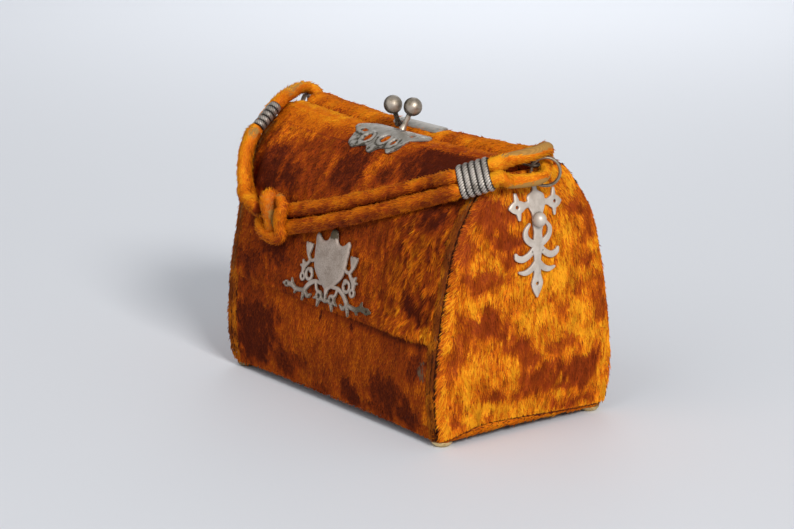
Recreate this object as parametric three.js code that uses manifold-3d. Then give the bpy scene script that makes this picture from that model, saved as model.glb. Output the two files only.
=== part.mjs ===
// Velvet handbag: a hollow bag of plush walls on a covered base, hung in a two-jaw top frame.
// Millimetres. +X is the bag's right end seen from the front, -Y the front, +Z up.
// The origin is on the surface it stands on, under the middle of the bag.
import * as THREE from 'three';
import { mergeVertices } from 'three/addons/utils/BufferGeometryUtils.js';
import Module from 'manifold-3d';

const wasm = await Module();
wasm.setup();

// Driving dimensions
const HALF_LENGTH = 95;
const GAP = 0.3;
const CLOTH = 2.4;
const FRONT_BULGE = 2;
const BACK_BULGE = 4.6;
const END_BULGE = 6;
const FRAME_SAG = 3.2;
const SLOPE_STEP = 0.5;

// Heights between which the walls swell out, fall back, and follow the sag of the frame
const WALL_SWELL = { start: 3, full: 40, fall: 105, end: 140 };
const END_SWELL = { start: 3, full: 40, fall: 110, end: 146 };
const SAG_SPAN = { start: 100, full: 140 };

const BASE_BOTTOM = 3;
const BASE_TOP = 9;
const BASE_HALF_DEPTH = 55.5;
const BASE_CORNER = 7;
const BASE_EDGE = 2;
const FOOT = { radius: 5.5, shoulder: 4.4, flat: 2.4, height: 2.7, shoulderHeight: 0.8, x: 89, y: 49.6 };

const WALL_BOTTOM = BASE_TOP + GAP;
const FRONT_TOP = 137.1;
const BACK_TOP = 138.5;
const FLAP_BOTTOM = 54.5;
const FLAP_ROLL = 1.2;
const FLAP_ROLL_HEIGHT = 12;
const WELT = { width: 8.4, proud: 0.8, buried: 2.2 };
const END_PANEL_TOP = 138.4;

const JAW_END = HALF_LENGTH - 0.5;
const JAW_END_SHARE = 0.85;
const PLATE = 1.2;
const PLATE_TOLERANCE = 0.05;
const END_PLATE_LIFT = 1;
const CLASP = { x: 0, width: 61 };
const CLASP_LOBES = { reach: 0.76, depth: 0.12, turns: 4 };
const CLASP_BACK_CORNER = 0.3;
const BALL_RADIUS = 5;
const STUD_STEM = 1.1;

const SHIELD_X = 2;
const KNOB = { z: 114, radius: 3.8, reach: 5.2 };

const RING = { x: 104, y: 4.1, z: 138.7, radius: 6.6, wire: 0.95, turn: 37 };
const LUG = { x: 100.5, y: -0.5, z: 141.9, half: 2.9, wire: 0.7 };
// Half of the lug's wire: reach from the lug's middle, and share of its half width
const LUG_ROUTE = [
  { reach: -1, share: 1 },
  { reach: 1.6, share: 0.72 },
  { reach: 2.5, share: 0 },
];

const CORD = 7;
const FERRULE = { length: 17, wall: 0.7, rib: 0.5, ribs: 5 };
const KNOT = { x: -46.5, y: -59.8, z: 95.8, half: 8.4, height: 14.5, depth: 7.2 };

// Facets: columns and rows of the walls, sides and steps of the rods, segments of the round pieces
const PANEL_GRID = [12, 11];
const GUSSET_GRID = [10, 11];
const WELT_GRID = [4, 12];
const CLASP_GRID = [16, 6];
const LOOP_FACETS = { sides: 10, steps: 34 };
const STRAND_FACETS = { sides: 10, steps: 12 };
const LUG_FACETS = { sides: 8, steps: 12 };
const ROUND = { foot: 12, stud: 16, knob: 14, hole: 8, wire: 8, ring: 22, wrap: 18, core: 12 };

// Half depth of the end arch at each height
const END_ARCH = [
  { z: 3, half: 55.2 },
  { z: 25, half: 57.8 },
  { z: 50, half: 56.2 },
  { z: 80, half: 51.1 },
  { z: 110, half: 43.1 },
  { z: 130, half: 30.3 },
  { z: 142, half: 19.2 },
  { z: 150, half: 9 },
];

// Sections of the two jaws at the bag's ends, from the outer foot over the top to the mouth
const FRONT_JAW = [
  { y: -22.6, z: 139 },
  { y: -17.6, z: 143.2 },
  { y: -13, z: 145.3 },
  { y: -8.6, z: 145.6 },
  { y: -5.4, z: 144.2 },
  { y: -5.2, z: 139 },
];
const BACK_JAW = [
  { y: -4.6, z: 139 },
  { y: -4.4, z: 145 },
  { y: -1, z: 148 },
  { y: 4, z: 148.8 },
  { y: 9.8, z: 147.4 },
  { y: 16.6, z: 143.8 },
  { y: 22, z: 139 },
];

// Undersides of the clasp plates, from the mouth outwards
const FRONT_CLASP_PATH = [
  { y: -6, z: 145.9 },
  { y: -9.5, z: 146.4 },
  { y: -13.4, z: 146.1 },
  { y: -18.2, z: 144 },
  { y: -23.2, z: 141.3 },
  { y: -26.9, z: 139.5 },
  { y: -29.6, z: 136.9 },
  { y: -32.4, z: 133.6 },
];
const BACK_CLASP_PATH = [
  { y: -3.2, z: 147 },
  { y: 0, z: 148.6 },
  { y: 4, z: 149.3 },
  { y: 9.8, z: 147.9 },
  { y: 16.2, z: 144.6 },
];

// The shield, half of its outline from the peak to the tip: across from its middle, and height
const SHIELD_HALF = [
  { across: 0, z: 96.6 },
  { across: 3.4, z: 92 },
  { across: 8.6, z: 89.8 },
  { across: 13, z: 92.3 },
  { across: 15.4, z: 90 },
  { across: 14.4, z: 84 },
  { across: 14.4, z: 77 },
  { across: 10.5, z: 70 },
  { across: 4.5, z: 66.4 },
  { across: 0, z: 64.5 },
];

// Strokes of the right half of the shield's scroll base: centreline and half width
const SHIELD_STROKES = [
  [
    { across: -1, z: 63.6, half: 2.4 },
    { across: 10, z: 60.6, half: 2 },
    { across: 21, z: 63.4, half: 2.6 },
    { across: 31, z: 60.6, half: 2.4 },
    { across: 39.6, z: 58.6, half: 1.6 },
  ],
  [
    { across: 15, z: 62, half: 2.2 },
    { across: 19.5, z: 58.4, half: 2 },
    { across: 21.6, z: 55, half: 0.8 },
  ],
  [
    { across: 2, z: 62.4, half: 2 },
    { across: 5.5, z: 59, half: 1.8 },
    { across: 7.4, z: 55.4, half: 0.8 },
  ],
  [
    { across: 12, z: 68, half: 1.8 },
    { across: 19, z: 69, half: 2.2 },
    { across: 22.6, z: 74.5, half: 2 },
    { across: 20.4, z: 83.6, half: 0.8 },
  ],
  [
    { across: 26, z: 62, half: 1.8 },
    { across: 30, z: 67, half: 1.8 },
    { across: 25, z: 71.5, half: 1.6 },
    { across: 20, z: 70, half: 1.6 },
  ],
];
const SHIELD_HOLE = { across: 36.6, z: 59.2, radius: 1 };

// The end plate's spine, half width at each height
const SPINE = [
  { z: 131.9, half: 0.6 },
  { z: 127.6, half: 2.4 },
  { z: 126.2, half: 5.2 },
  { z: 119.8, half: 5.2 },
  { z: 117.4, half: 3.4 },
  { z: 110.6, half: 3.4 },
  { z: 106, half: 2 },
  { z: 102.4, half: 3.2 },
  { z: 97.5, half: 2.8 },
  { z: 91.5, half: 3.4 },
  { z: 85.5, half: 2.4 },
  { z: 79.8, half: 3.8 },
  { z: 75.6, half: 2.4 },
  { z: 72.8, half: 0.6 },
];
// Strokes of one half of the end plate
const END_STROKES = [
  [
    { across: 2, z: 122.6, half: 1.8 },
    { across: 8, z: 122, half: 1.5 },
    { across: 12.2, z: 121.4, half: 3 },
    { across: 16.2, z: 121, half: 0.8 },
  ],
  [
    { across: 11.6, z: 121.4, half: 1.8 },
    { across: 12.8, z: 128, half: 0.8 },
  ],
  [
    { across: 11.6, z: 121.4, half: 1.8 },
    { across: 12.8, z: 114.8, half: 0.8 },
  ],
  [
    { across: 3.4, z: 118.6, half: 1.4 },
    { across: 7.6, z: 112.6, half: 1.3 },
    { across: 7.4, z: 106.4, half: 1.3 },
    { across: 1.4, z: 102.6, half: 1.4 },
  ],
  [
    { across: 1, z: 99.4, half: 1.8 },
    { across: 7.6, z: 98, half: 1.8 },
    { across: 13.4, z: 94.4, half: 0.8 },
  ],
  [
    { across: 6.6, z: 97.4, half: 1.7 },
    { across: 9.6, z: 92, half: 0.8 },
  ],
  [
    { across: 1, z: 91.4, half: 1.8 },
    { across: 6.4, z: 90.4, half: 1.6 },
    { across: 11.4, z: 86.6, half: 0.8 },
  ],
];
const END_HOLES = [
  { across: 12.4, z: 121.4, radius: 1 },
  { across: -12.4, z: 121.4, radius: 1 },
  { across: 0, z: 79.8, radius: 1.1 },
];

// The two loops of the handle, from the upper end in the ferrule, over the ring and back through it
const LOOP_ROUTES = {
  right: [
    { x: 100, y: -17.5, z: 146.4 },
    { x: 103.2, y: -8.5, z: 148.2 },
    { x: 105.2, y: -0.5, z: 149.5 },
    { x: 104.2, y: 5, z: 150.1 },
    { x: 100.5, y: 8.4, z: 147.6 },
    { x: 99.4, y: 8.5, z: 143.4 },
    { x: 101.2, y: 6.6, z: 140 },
    { x: 104.6, y: 3.9, z: 138 },
    { x: 107.3, y: -1, z: 136.6 },
    { x: 106.4, y: -9, z: 135.9 },
    { x: 103.4, y: -18, z: 135.9 },
  ],
  left: [
    { x: -93.5, y: -18.4, z: 149.4 },
    { x: -100.5, y: -6.1, z: 151 },
    { x: -103.2, y: 0.8, z: 150.9 },
    { x: -103.2, y: 5, z: 150 },
    { x: -99.9, y: 7.8, z: 147.4 },
    { x: -98.6, y: 7.2, z: 143.6 },
    { x: -100.8, y: 6.4, z: 140 },
    { x: -104.9, y: 3.4, z: 138.6 },
    { x: -107.4, y: -2, z: 138.6 },
    { x: -104.6, y: -10, z: 139.6 },
    { x: -99.5, y: -17.5, z: 141.8 },
  ],
};

// Ferrules: where they sit, the way the strands leave them, and the way across the two strands
const FERRULES = {
  right: {
    centre: new THREE.Vector3(95.4, -34.1, 138.7),
    along: new THREE.Vector3(-0.7, -0.62, -0.33),
    across: new THREE.Vector3(-0.5, 0.2, 0.84),
  },
  left: {
    centre: new THREE.Vector3(-91.8, -33.2, 139),
    along: new THREE.Vector3(0.05, -0.77, -0.64),
    across: new THREE.Vector3(0.86, -0.42, 0.28),
  },
};

// The four strands from their ferrules to the knot, after the ferrule's mouth
const STRAND_ROUTES = {
  strand_right_upper: {
    side: 'right',
    rank: 1,
    route: [
      { x: 65.3, y: -37.9, z: 131.4 },
      { x: 50, y: -42.4, z: 125.7 },
      { x: 25.2, y: -48.5, z: 117.6 },
      { x: -2.3, y: -53.1, z: 109 },
      { x: -22, y: -55.2, z: 103.8 },
      { x: -38.6, y: -57.1, z: 99.6 },
    ],
  },
  strand_right_lower: {
    side: 'right',
    rank: -1,
    route: [
      { x: 71.4, y: -43, z: 125.2 },
      { x: 55.7, y: -47, z: 119.6 },
      { x: 29.9, y: -52.4, z: 110.7 },
      { x: 1, y: -55.5, z: 101.4 },
      { x: -19, y: -57, z: 95.6 },
      { x: -37.3, y: -58.2, z: 91 },
    ],
  },
  strand_left_near: {
    side: 'left',
    rank: 1,
    route: [
      { x: -84.2, y: -51.4, z: 123.6 },
      { x: -81.1, y: -55, z: 115.8 },
      { x: -76.6, y: -57.7, z: 108.7 },
      { x: -70.1, y: -61.7, z: 103 },
      { x: -54.7, y: -64.1, z: 99.2 },
    ],
  },
  strand_left_far: {
    side: 'left',
    rank: -1,
    route: [
      { x: -90, y: -47.4, z: 120 },
      { x: -86.3, y: -51, z: 111.4 },
      { x: -80.4, y: -53.5, z: 103.3 },
      { x: -71.6, y: -56.3, z: 97.4 },
      { x: -55.5, y: -58, z: 94.5 },
    ],
  },
};

const COLOURS = {
  gold: { color: '#c27a1a', roughness: 0.9, metalness: 0 },
  brown: { color: '#823c10', roughness: 0.9, metalness: 0 },
  worn: { color: '#7d6146', roughness: 0.95, metalness: 0 },
  silver: { color: '#c8beb4', roughness: 0.4, metalness: 0.9 },
  pewter: { color: '#78736a', roughness: 0.45, metalness: 0.9 },
  steel: { color: '#4a4642', roughness: 0.2, metalness: 1 },
  brass: { color: '#bea56e', roughness: 0.3, metalness: 1 },
};

const bag = new THREE.Group();

function addPiece(name, geometry, colour) {
  const mesh = new THREE.Mesh(geometry, new THREE.MeshStandardMaterial(COLOURS[colour]));
  mesh.name = name;
  bag.add(mesh);
  return mesh;
}

// Cubic through a table's rows, with the slope at each row taken from its two neighbours
function smoothTable(rows, key, value) {
  const last = rows.length - 1;
  const slopes = rows.map((row, i) => {
    const before = rows[Math.max(i - 1, 0)];
    const after = rows[Math.min(i + 1, last)];
    return (after[value] - before[value]) / (after[key] - before[key]);
  });
  return (at) => {
    let i = 0;
    while (i < last - 1 && at > rows[i + 1][key]) i += 1;
    const span = rows[i + 1][key] - rows[i][key];
    const t = THREE.MathUtils.clamp((at - rows[i][key]) / span, 0, 1);
    const rise = t * t * (3 - 2 * t);
    const lead = span * t * (1 - t) * ((1 - t) * slopes[i] - t * slopes[i + 1]);
    return rows[i][value] * (1 - rise) + rows[i + 1][value] * rise + lead;
  };
}

const archHalf = smoothTable(END_ARCH, 'z', 'half');
const archSlope = (z) => (archHalf(z + SLOPE_STEP) - archHalf(z - SLOPE_STEP)) / (2 * SLOPE_STEP);
const midspan = (x) => 1 - (x / HALF_LENGTH) ** 2;
const { lerp, smoothstep } = THREE.MathUtils;

// How far a height near the frame sinks at x, where the jaws sag between their ends
const sinkAt = (x, z) => FRAME_SAG * midspan(x) * smoothstep(z, SAG_SPAN.start, SAG_SPAN.full);
const swellAt = (z, span) =>
  smoothstep(z, span.start, span.full) * (1 - smoothstep(z, span.fall, span.end));

// A point of the front (side -1) or back (side 1) wall, moved out along the wall's normal
function wallPoint(side, x, z, out) {
  const bulge = side < 0 ? FRONT_BULGE : BACK_BULGE;
  const swell = bulge * midspan(x) * swellAt(z, WALL_SWELL);
  const slope = archSlope(z);
  const across = 1 / Math.hypot(1, slope);
  const depth = archHalf(z) + swell + out * across;
  return new THREE.Vector3(x, side * depth, z - sinkAt(x, z) - out * slope * across);
}

// A point of an end wall: share runs from the front seam (-1) to the back seam (1)
function endPoint(side, share, z, out) {
  const half = endHalf(z);
  const swell = END_BULGE * (1 - share ** 2) * swellAt(z, END_SWELL);
  return new THREE.Vector3(side * (HALF_LENGTH + swell + out), share * half, z);
}
const endHalf = (z) => archHalf(z) - (WELT.buried + GAP) * Math.hypot(1, archSlope(z));

// A closed body from points and triangles, turned so that its faces point out
function solid(points, faces) {
  const normal = new THREE.Vector3();
  const volume = faces.reduce(
    (sum, [a, b, c]) => sum + points[a].dot(normal.crossVectors(points[b], points[c])),
    0,
  );
  const turned = volume < 0 ? faces.map(([a, b, c]) => [a, c, b]) : faces;
  const geometry = new THREE.BufferGeometry();
  const coordinates = points.flatMap((point) => point.toArray());
  geometry.setAttribute('position', new THREE.Float32BufferAttribute(coordinates, 3));
  geometry.setIndex(turned.flat());
  geometry.computeVertexNormals();
  return geometry;
}

// A wall between two surfaces of the same two shares, closed round its rim
function wall([columns, rows], outer, inner) {
  const points = [];
  for (const surface of [outer, inner]) {
    for (let j = 0; j <= rows; j += 1) {
      for (let i = 0; i <= columns; i += 1) points.push(surface(i / columns, j / rows));
    }
  }
  const layer = (columns + 1) * (rows + 1);
  const out = (i, j) => j * (columns + 1) + i;
  const within = (i, j) => layer + out(i, j);
  const faces = [];
  const quad = (a, b, c, d) => faces.push([a, b, c], [a, c, d]);
  for (let j = 0; j < rows; j += 1) {
    for (let i = 0; i < columns; i += 1) {
      quad(out(i, j), out(i + 1, j), out(i + 1, j + 1), out(i, j + 1));
      quad(within(i, j), within(i, j + 1), within(i + 1, j + 1), within(i + 1, j));
    }
    quad(out(0, j), out(0, j + 1), within(0, j + 1), within(0, j));
    quad(out(columns, j), within(columns, j), within(columns, j + 1), out(columns, j + 1));
  }
  for (let i = 0; i < columns; i += 1) {
    quad(out(i, 0), within(i, 0), within(i + 1, 0), out(i + 1, 0));
    quad(out(i, rows), out(i + 1, rows), within(i + 1, rows), within(i, rows));
  }
  return solid(points, faces);
}

// A body through rings of points, with flat caps
function loft(rings) {
  const count = rings[0].length;
  const faces = [];
  for (let ring = 0; ring < rings.length - 1; ring += 1) {
    for (let k = 0; k < count; k += 1) {
      const next = (k + 1) % count;
      const here = ring * count;
      const there = here + count;
      faces.push([here + k, here + next, there + next], [here + k, there + next, there + k]);
    }
  }
  const end = (rings.length - 1) * count;
  for (let k = 1; k < count - 1; k += 1) {
    faces.push([0, k + 1, k], [end, end + k, end + k + 1]);
  }
  return solid(rings.flat(), faces);
}

// A round rod along a route
function rod(route, diameter, { sides, steps }) {
  const section = new THREE.Shape().absarc(0, 0, diameter / 2, 0, 2 * Math.PI);
  const extrudePath = new THREE.CatmullRomCurve3(route);
  const curveSegments = sides / 2;
  return bare(new THREE.ExtrudeGeometry(section, { steps, extrudePath, curveSegments }));
}

// Positions alone, with the vertices that share a place joined
function bare(geometry) {
  const copy = geometry.clone();
  copy.deleteAttribute('normal');
  copy.deleteAttribute('uv');
  return mergeVertices(copy);
}

function toManifold(geometry) {
  const merged = bare(geometry);
  const vertProperties = Float32Array.from(merged.attributes.position.array);
  const triVerts = Uint32Array.from(merged.index.array);
  return new wasm.Manifold(new wasm.Mesh({ numProp: 3, vertProperties, triVerts }));
}

function fromManifold(manifold) {
  const { vertProperties, triVerts } = manifold.getMesh();
  const geometry = new THREE.BufferGeometry();
  geometry.setAttribute('position', new THREE.Float32BufferAttribute(vertProperties, 3));
  geometry.setIndex(Array.from(triVerts));
  return geometry;
}

const place = ({ x, y, z }) => new THREE.Vector3(x, y, z);

// Base and feet
const corner = BASE_CORNER - BASE_EDGE;
const baseX = HALF_LENGTH - BASE_EDGE;
const baseY = BASE_HALF_DEPTH - BASE_EDGE;
const basePlan = new THREE.Shape();
basePlan.absarc(baseX - corner, baseY - corner, corner, 0, Math.PI / 2);
basePlan.absarc(corner - baseX, baseY - corner, corner, Math.PI / 2, Math.PI);
basePlan.absarc(corner - baseX, corner - baseY, corner, Math.PI, 1.5 * Math.PI);
basePlan.absarc(baseX - corner, corner - baseY, corner, 1.5 * Math.PI, 2 * Math.PI);
const baseGeometry = new THREE.ExtrudeGeometry(basePlan, {
  depth: BASE_TOP - BASE_BOTTOM - 2 * BASE_EDGE,
  bevelSize: BASE_EDGE,
  bevelThickness: BASE_EDGE,
  bevelSegments: 2,
  curveSegments: 4,
});
addPiece('base', bare(baseGeometry), 'brown').position.z = BASE_BOTTOM + BASE_EDGE;

const footProfile = [
  new THREE.Vector2(0, 0),
  new THREE.Vector2(FOOT.flat, 0),
  new THREE.Vector2(FOOT.shoulder, FOOT.shoulderHeight),
  new THREE.Vector2(FOOT.radius, FOOT.height),
  new THREE.Vector2(0, FOOT.height),
];
for (const [end, endSign] of [['right', 1], ['left', -1]]) {
  for (const [face, faceSign] of [['front', -1], ['back', 1]]) {
    const dome = bare(new THREE.LatheGeometry(footProfile, ROUND.foot));
    const foot = addPiece(`foot_${face}_${end}`, dome, 'brass');
    foot.rotation.x = Math.PI / 2;
    foot.position.set(endSign * FOOT.x, faceSign * FOOT.y, 0);
  }
}

// Cloth walls: front, flap and back between the welts, and the two gussets
const panelHalf = HALF_LENGTH - WELT.width - GAP;
const panel = (side, bottom, top, layers) => {
  const at = (out) => (u, v) => {
    const z = lerp(bottom, top, v);
    return wallPoint(side, lerp(-panelHalf, panelHalf, u), z, out(z));
  };
  return wall(PANEL_GRID, at(layers.outer), at(layers.inner));
};
const plainWall = { outer: () => 0, inner: () => -CLOTH };
const flapRoll = (z) => FLAP_ROLL * (1 - smoothstep(z, FLAP_BOTTOM, FLAP_BOTTOM + FLAP_ROLL_HEIGHT));
const flapWall = { outer: (z) => GAP + CLOTH + flapRoll(z), inner: () => GAP };
addPiece('front_panel', panel(-1, WALL_BOTTOM, FRONT_TOP, plainWall), 'brown');
addPiece('front_flap', panel(-1, FLAP_BOTTOM, FRONT_TOP, flapWall), 'brown');
addPiece('back_panel', panel(1, WALL_BOTTOM, BACK_TOP, plainWall), 'brown');

for (const [end, endSign] of [['right', 1], ['left', -1]]) {
  const gusset = (out) => (u, v) =>
    endPoint(endSign, 2 * u - 1, lerp(WALL_BOTTOM, END_PANEL_TOP, v), out);
  addPiece(`end_panel_${end}`, wall(GUSSET_GRID, gusset(0), gusset(-CLOTH)), 'gold');
  for (const [face, faceSign] of [['front', -1], ['back', 1]]) {
    const binding = (out) => (u, v) => {
      const x = endSign * lerp(HALF_LENGTH - WELT.width, HALF_LENGTH, u);
      return wallPoint(faceSign, x, lerp(WALL_BOTTOM, END_PANEL_TOP, v), out);
    };
    const crowned = (u, v) => binding(WELT.proud * (1 - (2 * u - 1) ** 4))(u, v);
    addPiece(`welt_${face}_${end}`, wall(WELT_GRID, crowned, binding(-WELT.buried)), 'worn');
  }
}

// Jaws of the top frame, sagging between their ends, which are drawn in a little
function jaw(section) {
  const stations = 12;
  const middle = section.reduce((sum, row) => sum + row.y, 0) / section.length;
  const rings = [];
  for (let i = 0; i <= stations; i += 1) {
    const x = lerp(-JAW_END, JAW_END, i / stations);
    const share = i === 0 || i === stations ? JAW_END_SHARE : 1;
    rings.push(
      section.map(({ y, z }) => {
        const foot = section[0].z;
        const drawnY = lerp(middle, y, share);
        return new THREE.Vector3(x, drawnY, lerp(foot, z, share) - FRAME_SAG * midspan(x));
      }),
    );
  }
  return loft(rings);
}
addPiece('front_jaw', jaw(FRONT_JAW), 'brown');
addPiece('back_jaw', jaw(BACK_JAW), 'brown');

// Clasp plates, bent over the jaws: share u runs along the bag, v from the mouth outwards
function claspPlate(path, reach) {
  const curve = new THREE.SplineCurve(path.map(({ y, z }) => new THREE.Vector2(y, z)));
  const turn = Math.sign(path[0].y - path.at(-1).y);
  const surface = (out) => (u, v) => {
    const x = CLASP.x + CLASP.width * (u - 0.5);
    const share = v * reach(u);
    const point = curve.getPointAt(share);
    const tangent = curve.getTangentAt(share);
    return new THREE.Vector3(
      x,
      point.x + turn * out * tangent.y,
      point.y - turn * out * tangent.x - FRAME_SAG * midspan(x),
    );
  };
  return wall(CLASP_GRID, surface(PLATE), surface(0));
}
const lobe = (u) => Math.cos(CLASP_LOBES.turns * Math.PI * u) * Math.sin(Math.PI * u);
const lobedEdge = (u) => CLASP_LOBES.reach + CLASP_LOBES.depth * lobe(u);
const roundedEdge = (u) => 1 - CLASP_BACK_CORNER * (2 * u - 1) ** 4;
addPiece('clasp_plate_front', claspPlate(FRONT_CLASP_PATH, lobedEdge), 'pewter');
addPiece('clasp_plate_back', claspPlate(BACK_CLASP_PATH, roundedEdge), 'silver');

// Clasp studs: a ball and its leaning stem, turned as one
function stud(foot, ball) {
  const height = foot.distanceTo(ball);
  const arcSteps = 8;
  const meet = Math.sqrt(BALL_RADIUS ** 2 - STUD_STEM ** 2);
  const startAngle = Math.atan2(STUD_STEM, -meet);
  const profile = [new THREE.Vector2(0, 0), new THREE.Vector2(STUD_STEM, 0)];
  for (let i = 0; i <= arcSteps; i += 1) {
    const angle = startAngle * (1 - i / arcSteps);
    const radius = i === arcSteps ? 0 : BALL_RADIUS * Math.sin(angle);
    profile.push(new THREE.Vector2(radius, height + BALL_RADIUS * Math.cos(angle)));
  }
  const geometry = bare(new THREE.LatheGeometry(profile, ROUND.stud));
  const along = ball.clone().sub(foot).normalize();
  const lean = new THREE.Quaternion().setFromUnitVectors(new THREE.Vector3(0, 1, 0), along);
  return geometry.applyQuaternion(lean).translate(foot.x, foot.y, foot.z);
}
const frontStud = stud(new THREE.Vector3(2.4, -9.3, 145.2), new THREE.Vector3(5, -4.3, 157.1));
const backStud = stud(new THREE.Vector3(-9, -3.3, 145.65), new THREE.Vector3(-5, -10, 157.5));
addPiece('clasp_stud_front', frontStud, 'steel');
addPiece('clasp_stud_back', backStud, 'steel');

// A flat bar along a stroke: across and z place it in the plate, the depth is the plate's
function bar(rows, mirror) {
  const perSpan = 2;
  const curve = new THREE.CatmullRomCurve3(
    rows.map(({ across, z, half }) => new THREE.Vector3(mirror * across, z, half)),
  );
  const steps = perSpan * (rows.length - 1);
  const rings = [];
  for (let i = 0; i <= steps; i += 1) {
    const point = curve.getPoint(i / steps);
    const way = curve.getTangent(i / steps).setZ(0).normalize();
    const side = new THREE.Vector3(-way.y, way.x, 0).multiplyScalar(point.z);
    const middle = new THREE.Vector3(point.x, point.y, 0);
    const lift = new THREE.Vector3(0, 0, PLATE);
    const left = middle.clone().add(side);
    const right = middle.clone().sub(side);
    rings.push([left, right, right.clone().add(lift), left.clone().add(lift)]);
  }
  return toManifold(loft(rings));
}

function disc({ across, z, radius }) {
  const over = 1;
  const geometry = new THREE.CylinderGeometry(radius, radius, PLATE + 2 * over, ROUND.hole);
  return toManifold(geometry.rotateX(Math.PI / 2).translate(across, z, PLATE / 2));
}

// Joins a plate's strokes, both halves, cuts its holes and lays it on a surface
function plate(body, strokes, holes, lay) {
  let joined = body;
  for (const mirror of [1, -1]) {
    for (const rows of strokes) joined = joined.add(bar(rows, mirror));
  }
  for (const hole of holes) joined = joined.subtract(disc(hole));
  const { vertProperties, triVerts } = joined.simplify(PLATE_TOLERANCE).getMesh();
  const triples = (list) => Array.from({ length: list.length / 3 }, (_, i) => list.slice(3 * i, 3 * i + 3));
  const points = triples(vertProperties).map(([across, z, lift]) => lay(across, z, lift));
  return solid(points, triples(triVerts).map((face) => Array.from(face)));
}

// Shield plate on the flap
const shieldOutline = [
  ...SHIELD_HALF,
  ...SHIELD_HALF.slice(1, -1).reverse().map(({ across, z }) => ({ across: -across, z })),
];
const shieldShape = new THREE.Shape(shieldOutline.map(({ across, z }) => new THREE.Vector2(across, z)));
const shieldBody = new THREE.ExtrudeGeometry(shieldShape, { depth: PLATE, bevelEnabled: false });
const flapLift = GAP + CLOTH + FLAP_ROLL + GAP;
const shieldHoles = [SHIELD_HOLE, { ...SHIELD_HOLE, across: -SHIELD_HOLE.across }];
const layOnFlap = (across, z, lift) => wallPoint(-1, SHIELD_X + across, z, flapLift + lift);
const shieldPlate = plate(toManifold(shieldBody), SHIELD_STROKES, shieldHoles, layOnFlap);
addPiece('shield_plate', shieldPlate, 'silver');

// End plates and their knobs on the gussets
const spine = SPINE.map(({ z, half }) => [-half, half].map((across) => ({ across, z })));
const spineOutline = [...spine.map((pair) => pair[0]), ...spine.map((pair) => pair[1]).reverse()];
const spineShape = new THREE.Shape(spineOutline.map(({ across, z }) => new THREE.Vector2(across, z)));
const spineBody = new THREE.ExtrudeGeometry(spineShape, { depth: PLATE, bevelEnabled: false });
const knobProfile = [new THREE.Vector2(0, 0)];
const knobArc = 6;
const knobMiddle = KNOB.reach - KNOB.radius;
const knobStart = Math.acos(-knobMiddle / KNOB.radius);
for (let i = 0; i <= knobArc; i += 1) {
  const angle = knobStart * (1 - i / knobArc);
  const radius = i === knobArc ? 0 : KNOB.radius * Math.sin(angle);
  knobProfile.push(new THREE.Vector2(radius, knobMiddle + KNOB.radius * Math.cos(angle)));
}
for (const [end, endSign] of [['right', 1], ['left', -1]]) {
  const layOnEnd = (across, z, lift) => endPoint(endSign, across / endHalf(z), z, END_PLATE_LIFT + lift);
  const geometry = plate(toManifold(spineBody), END_STROKES, END_HOLES, layOnEnd);
  addPiece(`end_plate_${end}`, geometry, 'silver');
  const knobGeometry = bare(new THREE.LatheGeometry(knobProfile, ROUND.knob));
  const knob = addPiece(`end_knob_${end}`, knobGeometry, 'silver');
  knob.rotation.z = (-endSign * Math.PI) / 2;
  knob.position.copy(endPoint(endSign, 0, KNOB.z, END_PLATE_LIFT + PLATE + 2 * GAP));
}

// Lugs and rings, the left ones mirrored
const ringAngle = THREE.MathUtils.degToRad(90 - RING.turn);
for (const [end, endSign] of [['right', 1], ['left', -1]]) {
  const hoop = new THREE.TorusGeometry(RING.radius, RING.wire, ROUND.wire, ROUND.ring);
  const ring = addPiece(`ring_${end}`, bare(hoop), 'pewter');
  ring.rotation.set(Math.PI / 2, endSign * ringAngle, 0);
  ring.position.set(endSign * RING.x, RING.y, RING.z);
  const lugHalf = [{ reach: JAW_END + GAP - LUG.x, share: 1 }, ...LUG_ROUTE];
  const lugBack = lugHalf.slice(0, -1).reverse().map(({ reach, share }) => ({ reach, share: -share }));
  const lug = [...lugHalf, ...lugBack].map(
    ({ reach, share }) => new THREE.Vector3(endSign * (LUG.x + reach), LUG.y + share * LUG.half, LUG.z),
  );
  addPiece(`ring_lug_${end}`, rod(lug, 2 * LUG.wire, LUG_FACETS), 'pewter');
}

// Ferrules: ribbed sleeves round two strands side by side
const strandApart = CORD / 2 + GAP;
function ferrule({ centre, along, across }) {
  const around = 16;
  const slots = 2 * FERRULE.ribs;
  const bore = CORD / 2 + GAP;
  const axis = along.clone().normalize();
  const wide = across.clone().addScaledVector(axis, -across.dot(axis)).normalize();
  const deep = new THREE.Vector3().crossVectors(axis, wide);
  const ringAt = (share, grow) => {
    const points = [];
    for (let k = 0; k < around; k += 1) {
      const angle = (2 * Math.PI * (k + 0.5)) / around;
      const spread = Math.sign(Math.cos(angle)) * strandApart;
      points.push(
        centre
          .clone()
          .addScaledVector(axis, FERRULE.length * (share - 0.5))
          .addScaledVector(wide, spread + (bore + grow) * Math.cos(angle))
          .addScaledVector(deep, (bore + grow) * Math.sin(angle)),
      );
    }
    return points;
  };
  const outer = [];
  for (let i = 0; i <= slots; i += 1) {
    outer.push(ringAt(i / slots, FERRULE.wall + (i % 2 ? FERRULE.rib : 0)));
  }
  const sleeve = toManifold(loft(outer));
  const past = 0.1;
  const hollow = toManifold(loft([ringAt(-past, 0), ringAt(1 + past, 0)]));
  return bare(fromManifold(sleeve.subtract(hollow)));
}

// A point on one of the two strands at a ferrule: steps along its axis from its middle
function atFerrule(side, rank, steps) {
  const { centre, along, across } = FERRULES[side];
  const axis = along.clone().normalize();
  const wide = across.clone().addScaledVector(axis, -across.dot(axis)).normalize();
  return centre.clone().addScaledVector(axis, steps).addScaledVector(wide, rank * strandApart);
}

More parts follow.
